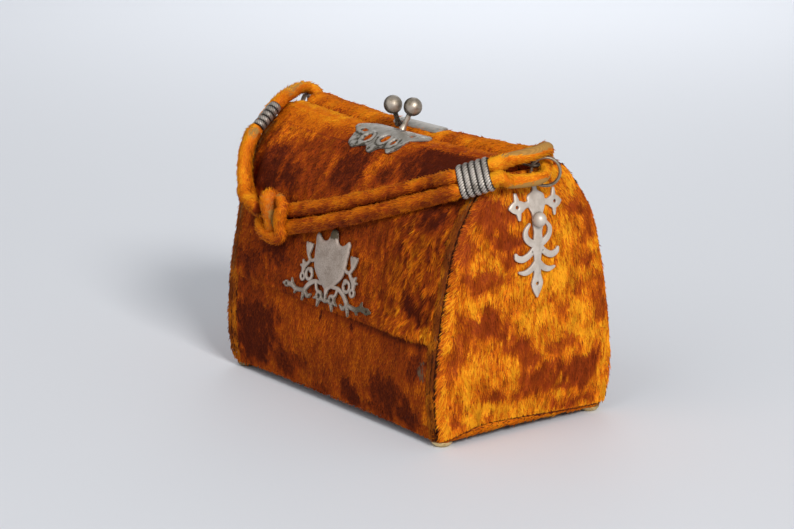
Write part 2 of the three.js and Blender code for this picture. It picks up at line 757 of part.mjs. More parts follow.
const mouth = FERRULE.length / 2;
const clear = mouth + CORD / 2;
for (const side of ['right', 'left']) {
  const route = LOOP_ROUTES[side].map(place);
  const first = [-GAP, -mouth, -clear].map((steps) => atFerrule(side, 1, steps));
  const last = [-clear, -mouth, -GAP].map((steps) => atFerrule(side, -1, steps));
  addPiece(`handle_loop_${side}`, rod([...first, ...route, ...last], CORD, LOOP_FACETS), 'gold');
  addPiece(`ferrule_${side}`, ferrule(FERRULES[side]), 'silver');
}

// Strands from the ferrules to the knot
for (const [name, { side, rank, route }] of Object.entries(STRAND_ROUTES)) {
  const first = [GAP, mouth, clear].map((steps) => atFerrule(side, rank, steps));
  addPiece(name, rod([...first, ...route.map(place)], CORD, STRAND_FACETS), 'gold');
}

// Knot: a loop of the cord drawn tight round the strands
const wrap = new THREE.TorusGeometry(1, CORD / 2 / KNOT.half, ROUND.wire, ROUND.wrap);
wrap.scale(KNOT.half - CORD / 2, KNOT.height - CORD / 2, KNOT.half).rotateX(Math.PI / 2);
const core = new THREE.SphereGeometry(1, ROUND.core, ROUND.wire);
core.scale(KNOT.half, KNOT.depth, KNOT.height - CORD / 2);
const knot = bare(fromManifold(toManifold(wrap).add(toManifold(core))));
addPiece('handle_knot', knot, 'gold').position.copy(place(KNOT));

export default bag;
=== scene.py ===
import bpy
import numpy as np
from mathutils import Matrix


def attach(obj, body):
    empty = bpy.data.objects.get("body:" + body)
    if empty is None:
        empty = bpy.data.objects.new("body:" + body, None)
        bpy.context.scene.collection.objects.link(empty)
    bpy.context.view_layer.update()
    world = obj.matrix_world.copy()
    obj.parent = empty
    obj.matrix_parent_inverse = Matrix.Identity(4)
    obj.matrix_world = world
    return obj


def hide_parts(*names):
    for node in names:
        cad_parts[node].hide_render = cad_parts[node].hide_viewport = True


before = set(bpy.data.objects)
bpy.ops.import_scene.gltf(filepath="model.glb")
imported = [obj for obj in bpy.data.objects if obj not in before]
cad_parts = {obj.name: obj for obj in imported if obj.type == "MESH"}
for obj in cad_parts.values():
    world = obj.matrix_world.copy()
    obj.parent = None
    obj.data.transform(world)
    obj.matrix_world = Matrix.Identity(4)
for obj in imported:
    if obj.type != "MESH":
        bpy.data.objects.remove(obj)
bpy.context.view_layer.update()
MM = 0.001
UPRIGHT = np.array([0, 0, 1.0])
TINY = 1e-9
ENDS = (("right", 1), ("left", -1))
FACES = (("front", -1), ("back", 1))


# Camera: a long lens a little above the bag, turned towards its right front corner,
# level and aimed at the middle of its walls.
AZIMUTH = np.radians(52.96)
ELEVATION = np.radians(14.61)
DISTANCE = 1.410
AIM = np.array([-0.0147, 0, 0.0659])
LENS = 117.1
lens = bpy.data.cameras.new("camera")
lens.lens = LENS
camera = bpy.data.objects.new("camera", lens)
flat_way = np.array([np.sin(AZIMUTH), -np.cos(AZIMUTH), 0]) * np.cos(ELEVATION)
camera.location = AIM + DISTANCE * (flat_way + [0, 0, np.sin(ELEVATION)])
camera.rotation_euler = (np.pi / 2 - ELEVATION, 0, AZIMUTH)
bpy.context.scene.collection.objects.link(camera)
bpy.context.scene.camera = camera


# Plush cord of the handle: a strip of plush sewn round a soft core, used double. Each half goes
# through its ring as a loop and is gripped by a ferrule, and its two strands go on to the knot.
CORD = 7.0
GAP = 0.3
STRAND_APART = CORD / 2 + GAP
FERRULE_LENGTH = 17.0
FERRULES = {
    "right": {"centre": (95.4, -34.1, 138.7), "along": (-0.7, -0.62, -0.33), "across": (-0.5, 0.2, 0.84)},
    "left": {"centre": (-91.8, -33.2, 139), "along": (0.05, -0.77, -0.64), "across": (0.86, -0.42, 0.28)},
}
LOOP_ROUTES = {
    "right": [
        (100, -17.5, 146.6), (103.2, -8.5, 148.5), (105, -0.5, 149.9), (103.8, 5, 150.5), (100.3, 8.4, 148),
        (99.4, 8.5, 143.4), (101.2, 6.6, 140), (104.6, 3.9, 138), (107.3, -1, 136.6), (106.4, -9, 135.9),
        (103.4, -18, 135.9)],
    "left": [
        (-93.5, -18.4, 149.4), (-100.5, -6.1, 151), (-103.2, 0.8, 150.9), (-103.2, 5, 150),
        (-99.9, 7.8, 147.4), (-98.6, 7.2, 143.6), (-100.8, 6.4, 140), (-104.9, 3.4, 138.6),
        (-107.4, -2, 138.6), (-104.6, -10, 139.6), (-99.5, -17.5, 141.8)],
}
STRANDS = {
    "strand_right_upper": {"side": "right", "rank": 1, "route": [
        (65.3, -37.9, 131.4), (50, -42.4, 125.7), (25.2, -48.5, 117.6), (-2.3, -53.1, 109),
        (-22, -55.2, 103.8), (-38.6, -57.1, 99.6)]},
    "strand_right_lower": {"side": "right", "rank": -1, "route": [
        (71.4, -43, 125.2), (55.7, -47, 119.6), (29.9, -52.4, 110.7), (1, -55.5, 101.4),
        (-19, -57, 95.6), (-37.3, -58.2, 91)]},
    "strand_left_near": {"side": "left", "rank": 1, "route": [
        (-84.2, -51.4, 123.6), (-81.1, -55, 115.8), (-76.6, -57.7, 108.7), (-70.1, -61.7, 103),
        (-54.7, -64.1, 99.2)]},
    "strand_left_far": {"side": "left", "rank": -1, "route": [
        (-90, -47.4, 120), (-86.3, -51, 111.4), (-80.4, -53.5, 103.3), (-71.6, -56.3, 97.4),
        (-55.5, -58, 94.5)]},
}
STRAND_LIE = np.array([0.1, -0.4, 0.9])
LOOP_LIE = {"right": np.array([0.9, -0.4, 0]), "left": np.array([-0.9, -0.4, 0])}
CORD_STEP = 1.6
CORD_SIDES = 18
CORD_LUMPS = 0.3
CORD_TONE = 0.46
CORD_SWAY = 0.35
SKIN_ROOT_SHADE = 0.15
WORN_SHADE_LIFT = 0.6
BARE_REACH = 1.1
PRESSED = 0.35
LOOP_WEAR = {"right": 1.0, "left": 0.6}
LOOP_BEND = {"right": (101.0, 143.2), "left": (-101.0, 143.2)}
LOOP_SEEDS = {"right": 11, "left": 12}
CORD_PILE = {"length": 2.3, "width": 0.62, "lift": 0.30, "per_area": 1.5}


def unit(vectors):
    """Vectors at length one."""
    return vectors / np.linalg.norm(vectors, axis=-1, keepdims=True)


def ease(value, start, full):
    """Rises from 0 at start to 1 at full, with no slope at either."""
    t = np.clip((value - start) / (full - start), 0, 1)
    return t * t * (3 - 2 * t)


def bump(value, middle, half):
    """A bell, one at its middle: e to the power of minus the squared distance in halves."""
    return np.exp(-((value - middle) / half) ** 2)


def cubic(keys, values, at):
    """A cubic between table rows; its slope at a row is that of the line joining the row's neighbours."""
    keys = np.asarray(keys, float)
    values = np.asarray(values, float).reshape(len(keys), -1)
    row = np.arange(len(keys))
    before = np.maximum(row - 1, 0)
    after = np.minimum(row + 1, len(keys) - 1)
    slopes = (values[after] - values[before]) / (keys[after] - keys[before])[:, None]
    i = np.clip(np.searchsorted(keys, at, side="right") - 1, 0, len(keys) - 2)
    span = (keys[i + 1] - keys[i])[..., None]
    t = np.clip((at - keys[i])[..., None] / span, 0, 1)
    rise = t * t * (3 - 2 * t)
    lead = span * t * (1 - t) * ((1 - t) * slopes[i] - t * slopes[i + 1])
    return values[i] * (1 - rise) + values[i + 1] * rise + lead


def walked(points):
    """Distance walked along a line up to each of its points."""
    return np.concatenate([[0], np.cumsum(np.linalg.norm(np.diff(points, axis=0), axis=1))])


def through(points, step):
    """A smooth line through given points, a cubic by the distance walked, cut into even steps."""
    points = np.asarray(points, float)
    keys = walked(points)
    return cubic(keys, points, np.linspace(0, keys[-1], int(keys[-1] / step) + 2))


PRIMES = (73856093, 19349663, 83492791, 2654435761, 1274126177)
TOP_VALUE = 65535


def mottle(points, size, seed):
    """Soft random field from -1 to 1: random values at lattice points size apart, eased between them."""
    cell = np.asarray(points, float) / size
    low = np.floor(cell).astype(np.int64)
    weight = ease(cell - low, 0, 1)
    total = np.zeros(cell.shape[:-1])
    for corner in np.ndindex(2, 2, 2):
        x, y, z = np.moveaxis(low + corner, -1, 0)
        mixed = (x * PRIMES[0]) ^ (y * PRIMES[1]) ^ (z * PRIMES[2]) ^ (seed * PRIMES[3])
        mixed = (mixed ^ (mixed >> 13)) * PRIMES[4]
        value = ((mixed ^ (mixed >> 16)) & TOP_VALUE) / (TOP_VALUE / 2) - 1
        total += value * np.prod(np.where(corner, weight, 1 - weight), axis=-1)
    return total


def tube(line, radius, sides, lie):
    """Rings square to a line: each point is the line's plus radius times a turning unit vector that starts
    square to both the line and lie. radius has a value for each ring and side. Returns rings and normals."""
    tangent = unit(np.gradient(line, axis=0))
    across = unit(np.cross(tangent, lie))
    over = np.cross(across, tangent)
    angle = np.linspace(0, 2 * np.pi, sides, endpoint=False)[:, None]
    normal = np.cos(angle) * across[:, None] + np.sin(angle) * over[:, None]
    return line[:, None] + radius[..., None] * normal, normal


def ringed(rings):
    """Skin over closed rings: quads between neighbours, and a fan from the middle of each end ring."""
    rows, columns = rings.shape[:2]
    ring = np.arange(rows - 1)[:, None] * columns
    here = np.arange(columns)
    following = (here + 1) % columns
    quads = np.stack([ring + here, ring + following, ring + columns + following, ring + columns + here], -1)
    pole = np.full(columns, rows * columns)
    last = (rows - 1) * columns
    fans = [np.stack([pole, following, here], 1), np.stack([pole + 1, last + here, last + following], 1)]
    points = np.concatenate([rings.reshape(-1, 3), rings[:1].mean(1), rings[-1:].mean(1)])
    return {"points": points, "faces": [quads.reshape(-1, 4), *fans]}


def only(keep, *arrays):
    """The kept rows of each array."""
    return (array[keep] for array in arrays)


def flipped(normals, way):
    """Normals turned to the side that way points to."""
    return normals * np.sign(np.sum(normals * way, axis=-1, keepdims=True))


def flattened(lie, normal):
    """The part of lie that is square to the normal, at length one."""
    return unit(lie - np.sum(lie * normal, axis=-1, keepdims=True) * normal)


def scatter(surface, per_area, random, closed=False):
    """Points spread evenly over a grid of points, so many to a square millimetre: a cell drawn by its area,
    then a place in the cell. Returns places, normals, the way along a column, and the shares of the rows and
    columns."""
    if closed:
        surface = np.concatenate([surface, surface[:, :1]], 1)
    corners = [surface[:-1, :-1], surface[1:, :-1], surface[:-1, 1:], surface[1:, 1:]]
    area = np.linalg.norm(np.cross(corners[1] - corners[0], corners[2] - corners[0]), axis=-1)
    count = int(per_area * area.sum())
    pick = random.choice(area.size, count, p=area.ravel() / area.sum())
    a, b, c, d = (corner.reshape(-1, 3)[pick] for corner in corners)
    s, t = random.random((2, count, 1))
    place = (a * (1 - s) + b * s) * (1 - t) + (c * (1 - s) + d * s) * t
    down = (b - a) * (1 - t) + (d - c) * t
    along = (c - a) * (1 - s) + (d - b) * s
    rows, columns = area.shape
    row_share = (pick // columns + s[:, 0]) / rows
    column_share = (pick % columns + t[:, 0]) / columns
    return place, unit(np.cross(along, down)), unit(down), row_share, column_share


def hooped(grid):
    """Skin over a grid of points that closes on itself both ways."""
    number = np.arange(grid[..., 0].size).reshape(grid.shape[:2])
    ahead, beside = np.roll(number, -1, 0), np.roll(number, -1, 1)
    quads = np.stack([number, ahead, np.roll(ahead, -1, 1), beside], -1)
    return {"points": grid.reshape(-1, 3), "faces": [quads.reshape(-1, 4)]}


LENGTH_RANGE = (0.65, 1.3)
HANG_RANGE = (0.8, 1.3)
WIDTH_RANGE = (0.7, 1.3)
RISE_RANGE = (0.4, 1.5)
SHORTEST = 0.6
LEAST_FALL = 0.1
TUFT_SINK = 0.35
STRAY_SHARE = 0.12
STRAY_LIFT = 2.6
STEEPEST = 0.6
TUFT_RIDGE = 0.55
RIDGE_TIP = 0.35
SIDE_LEAN = 0.35
TIP_LEAN = 0.2
TUFT_SPREAD = 0.8
CLOTH_SPREAD = 0.17
EVEN_SHADE = 0.5
SPOT_CORNERS = np.array([(0.05, 0.05), (0.95, 0.05), (0.05, 0.95), (0.95, 0.95)])


def tufts(place, normal, lie, nap, pile, random, stretch=1.0, hem=-np.inf, clump=0.0):
    """A three-sided spike at each place: its foot is sunk in the cloth, its tip lies along lie and stands
    off by the pile's lift. Each spike has one nap value, a random shade, and tip 0 at its foot to 1.
    stretch lengthens and raises the pile, and no tip hangs below the height of the hem. The shading normals
    are the cloth's, turned by clump and a little to the spike's sides, so the pile takes light softly."""
    count = len(place)
    stretch = np.reshape(stretch, (-1, 1))
    long = pile["length"] * stretch * random.uniform(*LENGTH_RANGE, (count, 1))
    hang = np.maximum(place[:, 2:] - hem, SHORTEST) * random.uniform(*HANG_RANGE, (count, 1))
    long = np.minimum(long, hang / np.maximum(-lie[:, 2:], LEAST_FALL))
    wide = pile["width"] * random.uniform(*WIDTH_RANGE, (count, 1))
    rise = pile["lift"] * stretch * random.uniform(*RISE_RANGE, (count, 1))
    stray = random.random((count, 1)) < STRAY_SHARE
    rise = np.where(stray, np.minimum(STRAY_LIFT * rise, STEEPEST), rise)
    side = unit(np.cross(lie, normal))
    foot = place - TUFT_SINK * normal
    tip = place + long * (lie * np.sqrt(1 - rise**2) + normal * rise)
    ridge = place + normal * wide * TUFT_RIDGE
    points = np.stack([foot + side * wide / 2, foot - side * wide / 2, ridge, tip], 1)
    first = 4 * np.arange(count)[:, None, None]
    faces = first + np.array([(0, 1, 3), (1, 2, 3), (2, 0, 3), (1, 0, 2)])
    values = np.zeros((count, 4, 4))
    values[..., 0] = np.reshape(nap, (-1, 1))
    values[..., 1] = random.random((count, 1))
    values[:, 2, 2] = RIDGE_TIP
    values[:, 3, 2] = 1
    across = int(np.ceil(np.sqrt(count)))
    cell = np.stack([np.arange(count) % across, np.arange(count) // across], -1)[:, None]
    spots = TUFT_SPREAD * (cell + SPOT_CORNERS) / across
    lean = pile.get("relief", SIDE_LEAN) * side
    soft = unit(normal + clump)
    facing = unit(np.stack([soft + lean, soft - lean, soft, soft + TIP_LEAN * lie], 1))
    return {"points": points.reshape(-1, 3), "faces": [faces.reshape(-1, 3)], "facing": facing.reshape(-1, 3),
            "values": values.reshape(-1, 4), "spots": spots.reshape(-1, 2)}


def clad(part, grid, nap, tip):
    """Makes a part, one or two layers of a grid, a cloth with one nap and tip and no wear; a low tip paints
    the cloth dark as the shade under its pile. Its places in the bake map are the strip beside the tufts, and
    points past the grid go in the corner. Returns the pile values, which may then be varied."""
    rows, columns = grid.shape[:2]
    layers, extra = divmod(len(part["points"]), rows * columns)
    v, u = np.meshgrid(np.linspace(0, 1, rows), np.linspace(0, 1, columns), indexing="ij")
    spots = np.stack([1 - CLOTH_SPREAD * u, v], -1).reshape(-1, 2)
    part["spots"] = np.concatenate([*[spots] * layers, np.ones((extra, 2))])
    part["values"] = np.full((len(part["points"]), 4), (nap, EVEN_SHADE, tip, 0.0))
    return part["values"]


def turned_out(points, faces):
    """Faces in the order that points them outwards: all are reversed if they enclose a negative volume."""
    volume = 0.0
    for face in faces:
        first = points[face[:, 0]]
        for k in range(1, face.shape[1] - 1):
            volume += np.einsum("ij,ij", first, np.cross(points[face[:, k]], points[face[:, k + 1]]))
    return faces if volume > 0 else [face[:, ::-1] for face in faces]


def sew(name, parts, material, node, crease=None):
    """One smooth mesh from parts, each with points, faces and pile values, and for plush its bake spots.
    Edges that turn by more than the crease, if there is one, are sharp."""
    starts = np.cumsum([0] + [len(part["points"]) for part in parts])
    points = np.concatenate([part["points"] for part in parts])
    faces = [face + start for part, start in zip(parts, starts)
             for face in turned_out(part["points"], part["faces"])]
    corners = np.concatenate([face.ravel() for face in faces])
    sizes = np.concatenate([np.full(len(face), face.shape[1]) for face in faces])
    mesh = bpy.data.meshes.new(name)
    mesh.vertices.add(len(points))
    mesh.vertices.foreach_set("co", (points * MM).astype(np.float32).ravel())
    mesh.loops.add(len(corners))
    mesh.loops.foreach_set("vertex_index", corners.astype(np.int32))
    mesh.polygons.add(len(sizes))
    mesh.polygons.foreach_set("loop_start", np.concatenate([[0], np.cumsum(sizes)[:-1]]).astype(np.int32))
    mesh.polygons.foreach_set("use_smooth", np.ones(len(sizes), bool))
    mesh.update(calc_edges=True)
    values = np.concatenate([part["values"] for part in parts])
    pile = mesh.attributes.new("pile", "FLOAT_COLOR", "POINT")
    pile.data.foreach_set("color", values.astype(np.float32).ravel())
    if "spots" in parts[0]:
        spots = np.concatenate([part["spots"] for part in parts])
        bake_map = mesh.uv_layers.new(name="OFBake")
        bake_map.uv.foreach_set("vector", spots[corners].astype(np.float32).ravel())
    if any("facing" in part for part in parts):
        facing = np.concatenate([part.get("facing", np.zeros_like(part["points"])) for part in parts])
        mesh.normals_split_custom_set_from_vertices(facing)
    if crease is not None:
        mesh.set_sharp_from_angle(angle=crease)
    mesh.materials.append(material)
    piece = bpy.data.objects.new(name, mesh)
    bpy.context.scene.collection.objects.link(piece)
    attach(piece, "root")
    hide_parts(node)
    return piece


def linear(red, green, blue):
    """A colour given as seen on a screen, from 0 to 255, as the shader's linear colour."""
    seen = np.array([red, green, blue]) / 255
    return (*np.where(seen > 0.04045, ((seen + 0.055) / 1.055) ** 2.4, seen / 12.92), 1.0)


def add_node(tree, kind, inputs, **settings):
    """A node with its settings, and each input, by name or number, set to a value or linked to a socket."""
    new = tree.nodes.new(kind)
    for key, value in settings.items():
        setattr(new, key, value)
    for key, value in inputs.items():
        if isinstance(value, bpy.types.NodeSocket):
            tree.links.new(value, new.inputs[key])
        else:
            new.inputs[key].default_value = value
    return new


def maths(tree, operation, *values):
    """One sum on values or sockets."""
    return add_node(tree, "ShaderNodeMath", dict(enumerate(values)), operation=operation).outputs[0]


def blended(tree, share, first, second, blend_type="MIX"):
    """Two colours mixed by a share."""
    inputs = {0: share, 6: first, 7: second}
    return add_node(tree, "ShaderNodeMix", inputs, data_type="RGBA", blend_type=blend_type).outputs[2]


def stepped(tree, value, start, full):
    """Rises smoothly from 0 at start to 1 at full."""
    inputs = {"Value": value, "From Min": start, "From Max": full}
    return add_node(tree, "ShaderNodeMapRange", inputs, interpolation_type="SMOOTHSTEP").outputs[0]


def new_group(name, inputs, outputs):
    """An empty node group with colour or value sockets, its input node and its output node."""
    group = bpy.data.node_groups.new(name, "ShaderNodeTree")
    kinds = {"colour": "NodeSocketColor", "value": "NodeSocketFloat"}
    for ends, way in ((inputs, "INPUT"), (outputs, "OUTPUT")):
        for socket, kind in ends.items():
            group.interface.new_socket(name=socket, in_out=way, socket_type=kinds[kind])
    return group, group.nodes.new("NodeGroupInput"), group.nodes.new("NodeGroupOutput")


# How plush takes its colour: pile lying away from the light is dark, pile facing it bright. The pile
# attribute holds nap, shade and tip, and in its alpha how far the cloth is worn to its woven ground. Low
# tip values, at the roots of the tufts and on the cloth beneath them, are painted darker as the shade deep
# in the pile, and the tips are painted lighter.
TONE_STEPS = (("Rust", 0.05, 0.42), ("Gold", 0.38, 0.72), ("Bright", 0.70, 1.05))
SPECKLE_SCALE = 900.0
SPECKLE_GAIN = 0.10
SHADE_GAIN = 0.12
ROOT_LEVEL = 0.6
ROOT_SHADE_GAIN = 0.40
PILE_SHADE_GAIN = 0.12
PILE_SHADE_ROOT = 0.90
WEAVE_TURN = (0.6, 0.4, 0.8)
WEAVE_SCALE = 620.0
WEAVE_GAIN = 0.24
WORN_RAGGED = 0.5
WORN_STEP = (0.55, 0.95)
plush_look, ends_in, ends_out = new_group(
    "plush look",
    {"Dark": "colour", "Rust": "colour", "Gold": "colour", "Bright": "colour", "Ground": "colour"},
    {"Color": "colour"},
)
pile_value = add_node(plush_look, "ShaderNodeAttribute", {}, attribute_name="pile")
pile_split = add_node(plush_look, "ShaderNodeSeparateColor", {0: pile_value.outputs["Color"]})
nap_value, shade_value, tip_value = pile_split.outputs
place_value = add_node(plush_look, "ShaderNodeTexCoord", {}).outputs["Object"]
speckle_inputs = {"Vector": place_value, "Scale": SPECKLE_SCALE, "Detail": 2.0}
speckle = add_node(plush_look, "ShaderNodeTexNoise", speckle_inputs)
speckle_share = maths(plush_look, "SUBTRACT", speckle.outputs[0], 0.5)
nap_speckled = maths(plush_look, "MULTIPLY_ADD", speckle_share, SPECKLE_GAIN, nap_value)
shade_share = maths(plush_look, "SUBTRACT", shade_value, 0.5)
nap_shaded = maths(plush_look, "MULTIPLY_ADD", shade_share, SHADE_GAIN, nap_speckled)
# Painted shade deep in the pile: the nap is lowered towards the roots and raised towards the tips.
root_shade_share = maths(plush_look, "SUBTRACT", tip_value, ROOT_LEVEL)
nap_root_shaded = maths(plush_look, "MULTIPLY_ADD", root_shade_share, ROOT_SHADE_GAIN, nap_shaded)
high_tone = ends_in.outputs["Dark"]
for next_tone, start, full in TONE_STEPS:
    reached = stepped(plush_look, nap_root_shaded, start, full)
    high_tone = blended(plush_look, reached, high_tone, ends_in.outputs[next_tone])
# Painted shade deep in the pile: the colour is darkened towards the roots.
pile_shade_share = maths(plush_look, "MULTIPLY_ADD", tip_value, PILE_SHADE_GAIN, PILE_SHADE_ROOT)
pile_shaded_tone = blended(plush_look, 1.0, high_tone, pile_shade_share, "MULTIPLY")
turned = add_node(plush_look, "ShaderNodeMapping", {"Vector": place_value, "Rotation": WEAVE_TURN})
warp_inputs = {"Vector": turned.outputs[0], "Scale": WEAVE_SCALE, "Distortion": 0.3}
warp = add_node(plush_look, "ShaderNodeTexWave", warp_inputs)
thread = maths(plush_look, "MULTIPLY_ADD", warp.outputs[1], WEAVE_GAIN, 1 - WEAVE_GAIN)
ground_tone = blended(plush_look, 1.0, ends_in.outputs["Ground"], thread, "MULTIPLY")
worn_ragged = maths(plush_look, "MULTIPLY_ADD", speckle.outputs[0], WORN_RAGGED, pile_value.outputs["Alpha"])
worn_share = stepped(plush_look, worn_ragged, *WORN_STEP)
plush_look.links.new(blended(plush_look, worn_share, pile_shaded_tone, ground_tone), ends_out.inputs["Color"])

PLUSH_ROUGH = 0.7
PLUSH_GLOSS = 0.12
PLUSH_TONES = {"Dark": linear(84, 26, 6), "Rust": linear(158, 62, 9), "Gold": linear(224, 116, 8),
               "Bright": linear(250, 168, 28), "Ground": linear(176, 130, 66)}


def toned(name, group, tones):
    """A material whose colour is a node group's, in its own tones. Returns it, its shader and its group."""
    material = bpy.data.materials.new(name)
    material.use_nodes = True
    tree = material.node_tree
    shader = tree.nodes["Principled BSDF"]
    look = add_node(tree, "ShaderNodeGroup", {}, node_tree=group)
    for socket, colour in tones.items():
        look.inputs[socket].default_value = colour
    tree.links.new(look.outputs["Color"], shader.inputs["Base Color"])
    return material, shader, look


def plush(name, tones):
    """Plush material: the shared look in its tones, on a rough shader with hardly any gloss."""
    material, shader, _ = toned(name, plush_look, tones)
    shader.inputs["Roughness"].default_value = PLUSH_ROUGH
    shader.inputs["Specular IOR Level"].default_value = PLUSH_GLOSS
    return material


cord_plush = plush("cord plush", PLUSH_TONES)


def ferrule_frame(side):
    """Middle of a ferrule, the way the strands leave it, the way across the two, and the third way."""
    rows = FERRULES[side]
    axis = unit(np.array(rows["along"]))
    across = np.array(rows["across"])
    wide = unit(across - (across @ axis) * axis)
    return np.array(rows["centre"], float), axis, wide, np.cross(axis, wide)


def at_ferrule(side, rank, steps):
    """Points of one strand at its ferrule, steps along the ferrule's axis from its middle."""
    centre, axis, wide, _ = ferrule_frame(side)
    return centre + np.outer(steps, axis) + rank * STRAND_APART * wide


def cord_parts(line, lie, seed, bare_share, girth, gripped=(0, 0)):
    """A cord along a line: a lumpy tube and its tufts, which lie along it. bare_share gives how far each
    point of the tube is worn, from its place along the cord and its normal; girth scales each ring. Over the
    lengths gripped at the two ends the tufts are pressed short."""
    random = np.random.default_rng(seed)
    smooth, normal = tube(line, np.full((len(line), CORD_SIDES), CORD / 2), CORD_SIDES, lie)
    radius = girth[:, None] * CORD / 2 + CORD_LUMPS * mottle(smooth, 5, seed)
    rings, normal = tube(line, radius, CORD_SIDES, lie)
    share = np.linspace(0, 1, len(line))[:, None] * np.ones(CORD_SIDES)
    worn = bare_share(share, normal)
    skin = ringed(rings)
    # The skin under the tufts takes a low tip, painted dark as the shade under the pile, and lighter where
    # the pile is worn away.
    values = clad(skin, rings, 0.4, SKIN_ROOT_SHADE)
    values[:-2, 0] = cord_nap(rings, normal, seed).ravel()
    values[:-2, 2] = SKIN_ROOT_SHADE + WORN_SHADE_LIFT * worn.ravel()
    values[:-2, 3] = worn.ravel()
    place, outward, down, row, _ = scatter(rings, CORD_PILE["per_area"], random, closed=True)
    middle = line[np.minimum((row * (len(line) - 1)).astype(int), len(line) - 1)]
    outward = flipped(outward, place - middle)
    along = row * walked(line)[-1]
    free = (along > gripped[0]) & (along < walked(line)[-1] - gripped[1])
    keep = random.random(len(place)) > BARE_REACH * bare_share(row, outward)
    place, outward, down, free = only(keep, place, outward, down, free)
    sway = flattened(unit(down + CORD_SWAY * random.normal(size=down.shape)), outward)
    pressed = np.where(free, 1, PRESSED)
    fur = tufts(place, outward, sway, cord_nap(place, outward, seed), CORD_PILE, random, pressed)
    return [skin, fur]


def cord_nap(place, normal, seed):
    """Nap on the cords: mottled, brighter on top, round the knot and towards the bag's ends, left first."""
    bright = np.maximum(0.36 * ease(np.abs(place[..., 0]), 86, 98), 0.28 * ease(-place[..., 0], 60, 74))
    ridge = 0.20 * ease(0.8 * normal[..., 2] - 0.6 * normal[..., 1], 0.2, 0.95)
    knotted = 0.20 * ease(-place[..., 1], 58, 62) * (1 - ease(np.abs(place[..., 0] + 46), 18, 24))
    patches = 0.16 * mottle(place, 7, seed + 1) + 0.14 * mottle(place, 2.5, seed + 2)
    return CORD_TONE + bright + knotted + ridge + patches


def loop_wear(side):
    """Wear on a loop: the twill ground shows along its outer side, away from the middle of the bend."""
    line = loop_lines[side]
    bend_x, bend_z = LOOP_BEND[side]
    bend = np.stack(np.broadcast_arrays(bend_x, np.minimum(line[:, 1], 0), bend_z), -1)
    outside = unit(line - bend)

    def wear(share, normal):
        at = np.clip((share * (len(line) - 1)).astype(int), 0, len(line) - 1)
        facing = np.einsum("...j,...j", outside[at], normal)
        between = ease(share, 0.08, 0.20) * ease(1 - share, 0.12, 0.22)
        return LOOP_WEAR[side] * ease(facing, 0.30, 0.75) * between
    return wear


def left_wear(share, normal):
    """Wear on the left strands: the woven ground shows below the ferrule."""
    outside = ease(0.7 * normal[..., 0] - 0.7 * normal[..., 1], 0.0, 0.8)
    return 0.8 * outside * ease(share, 0.10, 0.17) * (1 - ease(share, 0.18, 0.34))


def pinched(distance):
    """Girth of a cord near its start, where the ferrule grips it."""
    return 1 - 0.14 * (1 - ease(distance, 7, 11))


LOOP_SLIM = 0.16
MOUTH = FERRULE_LENGTH / 2
CLEAR = MOUTH + CORD / 2
GRIPPED = MOUTH - 1
loop_lines = {}
inside = np.array([GAP, MOUTH, CLEAR])
for side, route in LOOP_ROUTES.items():
    points = np.concatenate([at_ferrule(side, 1, -inside), route, at_ferrule(side, -1, -inside[::-1])])
    line = through(points, CORD_STEP)
    loop_lines[side] = line
    share = np.linspace(0, 1, len(line))
    girth = pinched(share * walked(line)[-1]) - LOOP_SLIM * np.sin(np.pi * share) ** 2
    parts = cord_parts(line, LOOP_LIE[side], LOOP_SEEDS[side], loop_wear(side), girth, (GRIPPED, GRIPPED))
    sew(f"handle_loop_{side}_plush", parts, cord_plush, f"handle_loop_{side}")


# Knot: a bight of one half stands up as a fat lobe, and the other half is wound down beside it and
# round below, drawn tight over a filled core. The bight's pile is rubbed thin.
KNOT = {"x": -46.5, "y": -58.8, "z": 95.8}
KNOT_ROUTES = {
    "bight": [(-48, -58.5, 82.6), (-46, -60.5, 87.4), (-45.8, -61.5, 93.9), (-46, -62, 99),
              (-46.4, -62, 103.3), (-46.9, -61.5, 106.7), (-47.2, -61, 110.3)],
    "band": [(-46.4, -57, 104.6), (-39.3, -59.5, 106), (-34.4, -62, 103.6), (-34.7, -63, 98.6),
             (-35.2, -63, 93), (-35, -62.5, 87.8), (-38.7, -63, 85.4), (-46.2, -63, 85.5),
             (-53.4, -62, 86.9), (-57.7, -60, 89.3), (-59.7, -57, 91.7)],
    "back": [(-36, -57, 103), (-39, -55.4, 98), (-46, -54.8, 92), (-54, -55.4, 88), (-60, -57.2, 90.5)],
}
BIGHT_GIRTH = 1.4
BAND_GIRTH = 0.86
KNOT_CORE = {"x": 8, "y": 3.6, "z": 9}
KNOT_LIE = np.array([0, 1.0, 0])
KNOT_FILL_STEPS = 12
KNOT_POLE = 0.12
KNOT_SEED = 21
STRAND_SEED = 31


def bight_girth(line):
    """Girth of the bight: slim at its foot, full above, and a round end: a half circle by the length left."""
    left = walked(line)[-1] - walked(line)
    full = BIGHT_GIRTH * (1 - 0.34 * ease(left, 9, 18))
    share = np.clip(left / (BIGHT_GIRTH * CORD / 2), 0.01, 1)
    return full * np.sqrt(1 - (1 - share) ** 2)


def band_girth(line):
    """Girth of the band, even along it."""
    return np.full(len(line), BAND_GIRTH)


def bight_wear(share, normal):
    """Wear on the bight: thin pile all over, and the woven ground down its right side."""
    rightward = 0.6 * normal[..., 0] + 0.8 * normal[..., 1]
    return 0.40 + 0.50 * bump(share, 0.5, 0.16) * ease(rightward, -0.4, 0.3)


def band_wear(share, normal):
    """Wear on the band: the upper end, where it comes over."""
    return 0.6 * ease(normal[..., 2], 0.2, 0.8) * (1 - ease(share, 0.12, 0.22))


def no_wear(share, normal):
    """Pile everywhere."""
    return 0 * share


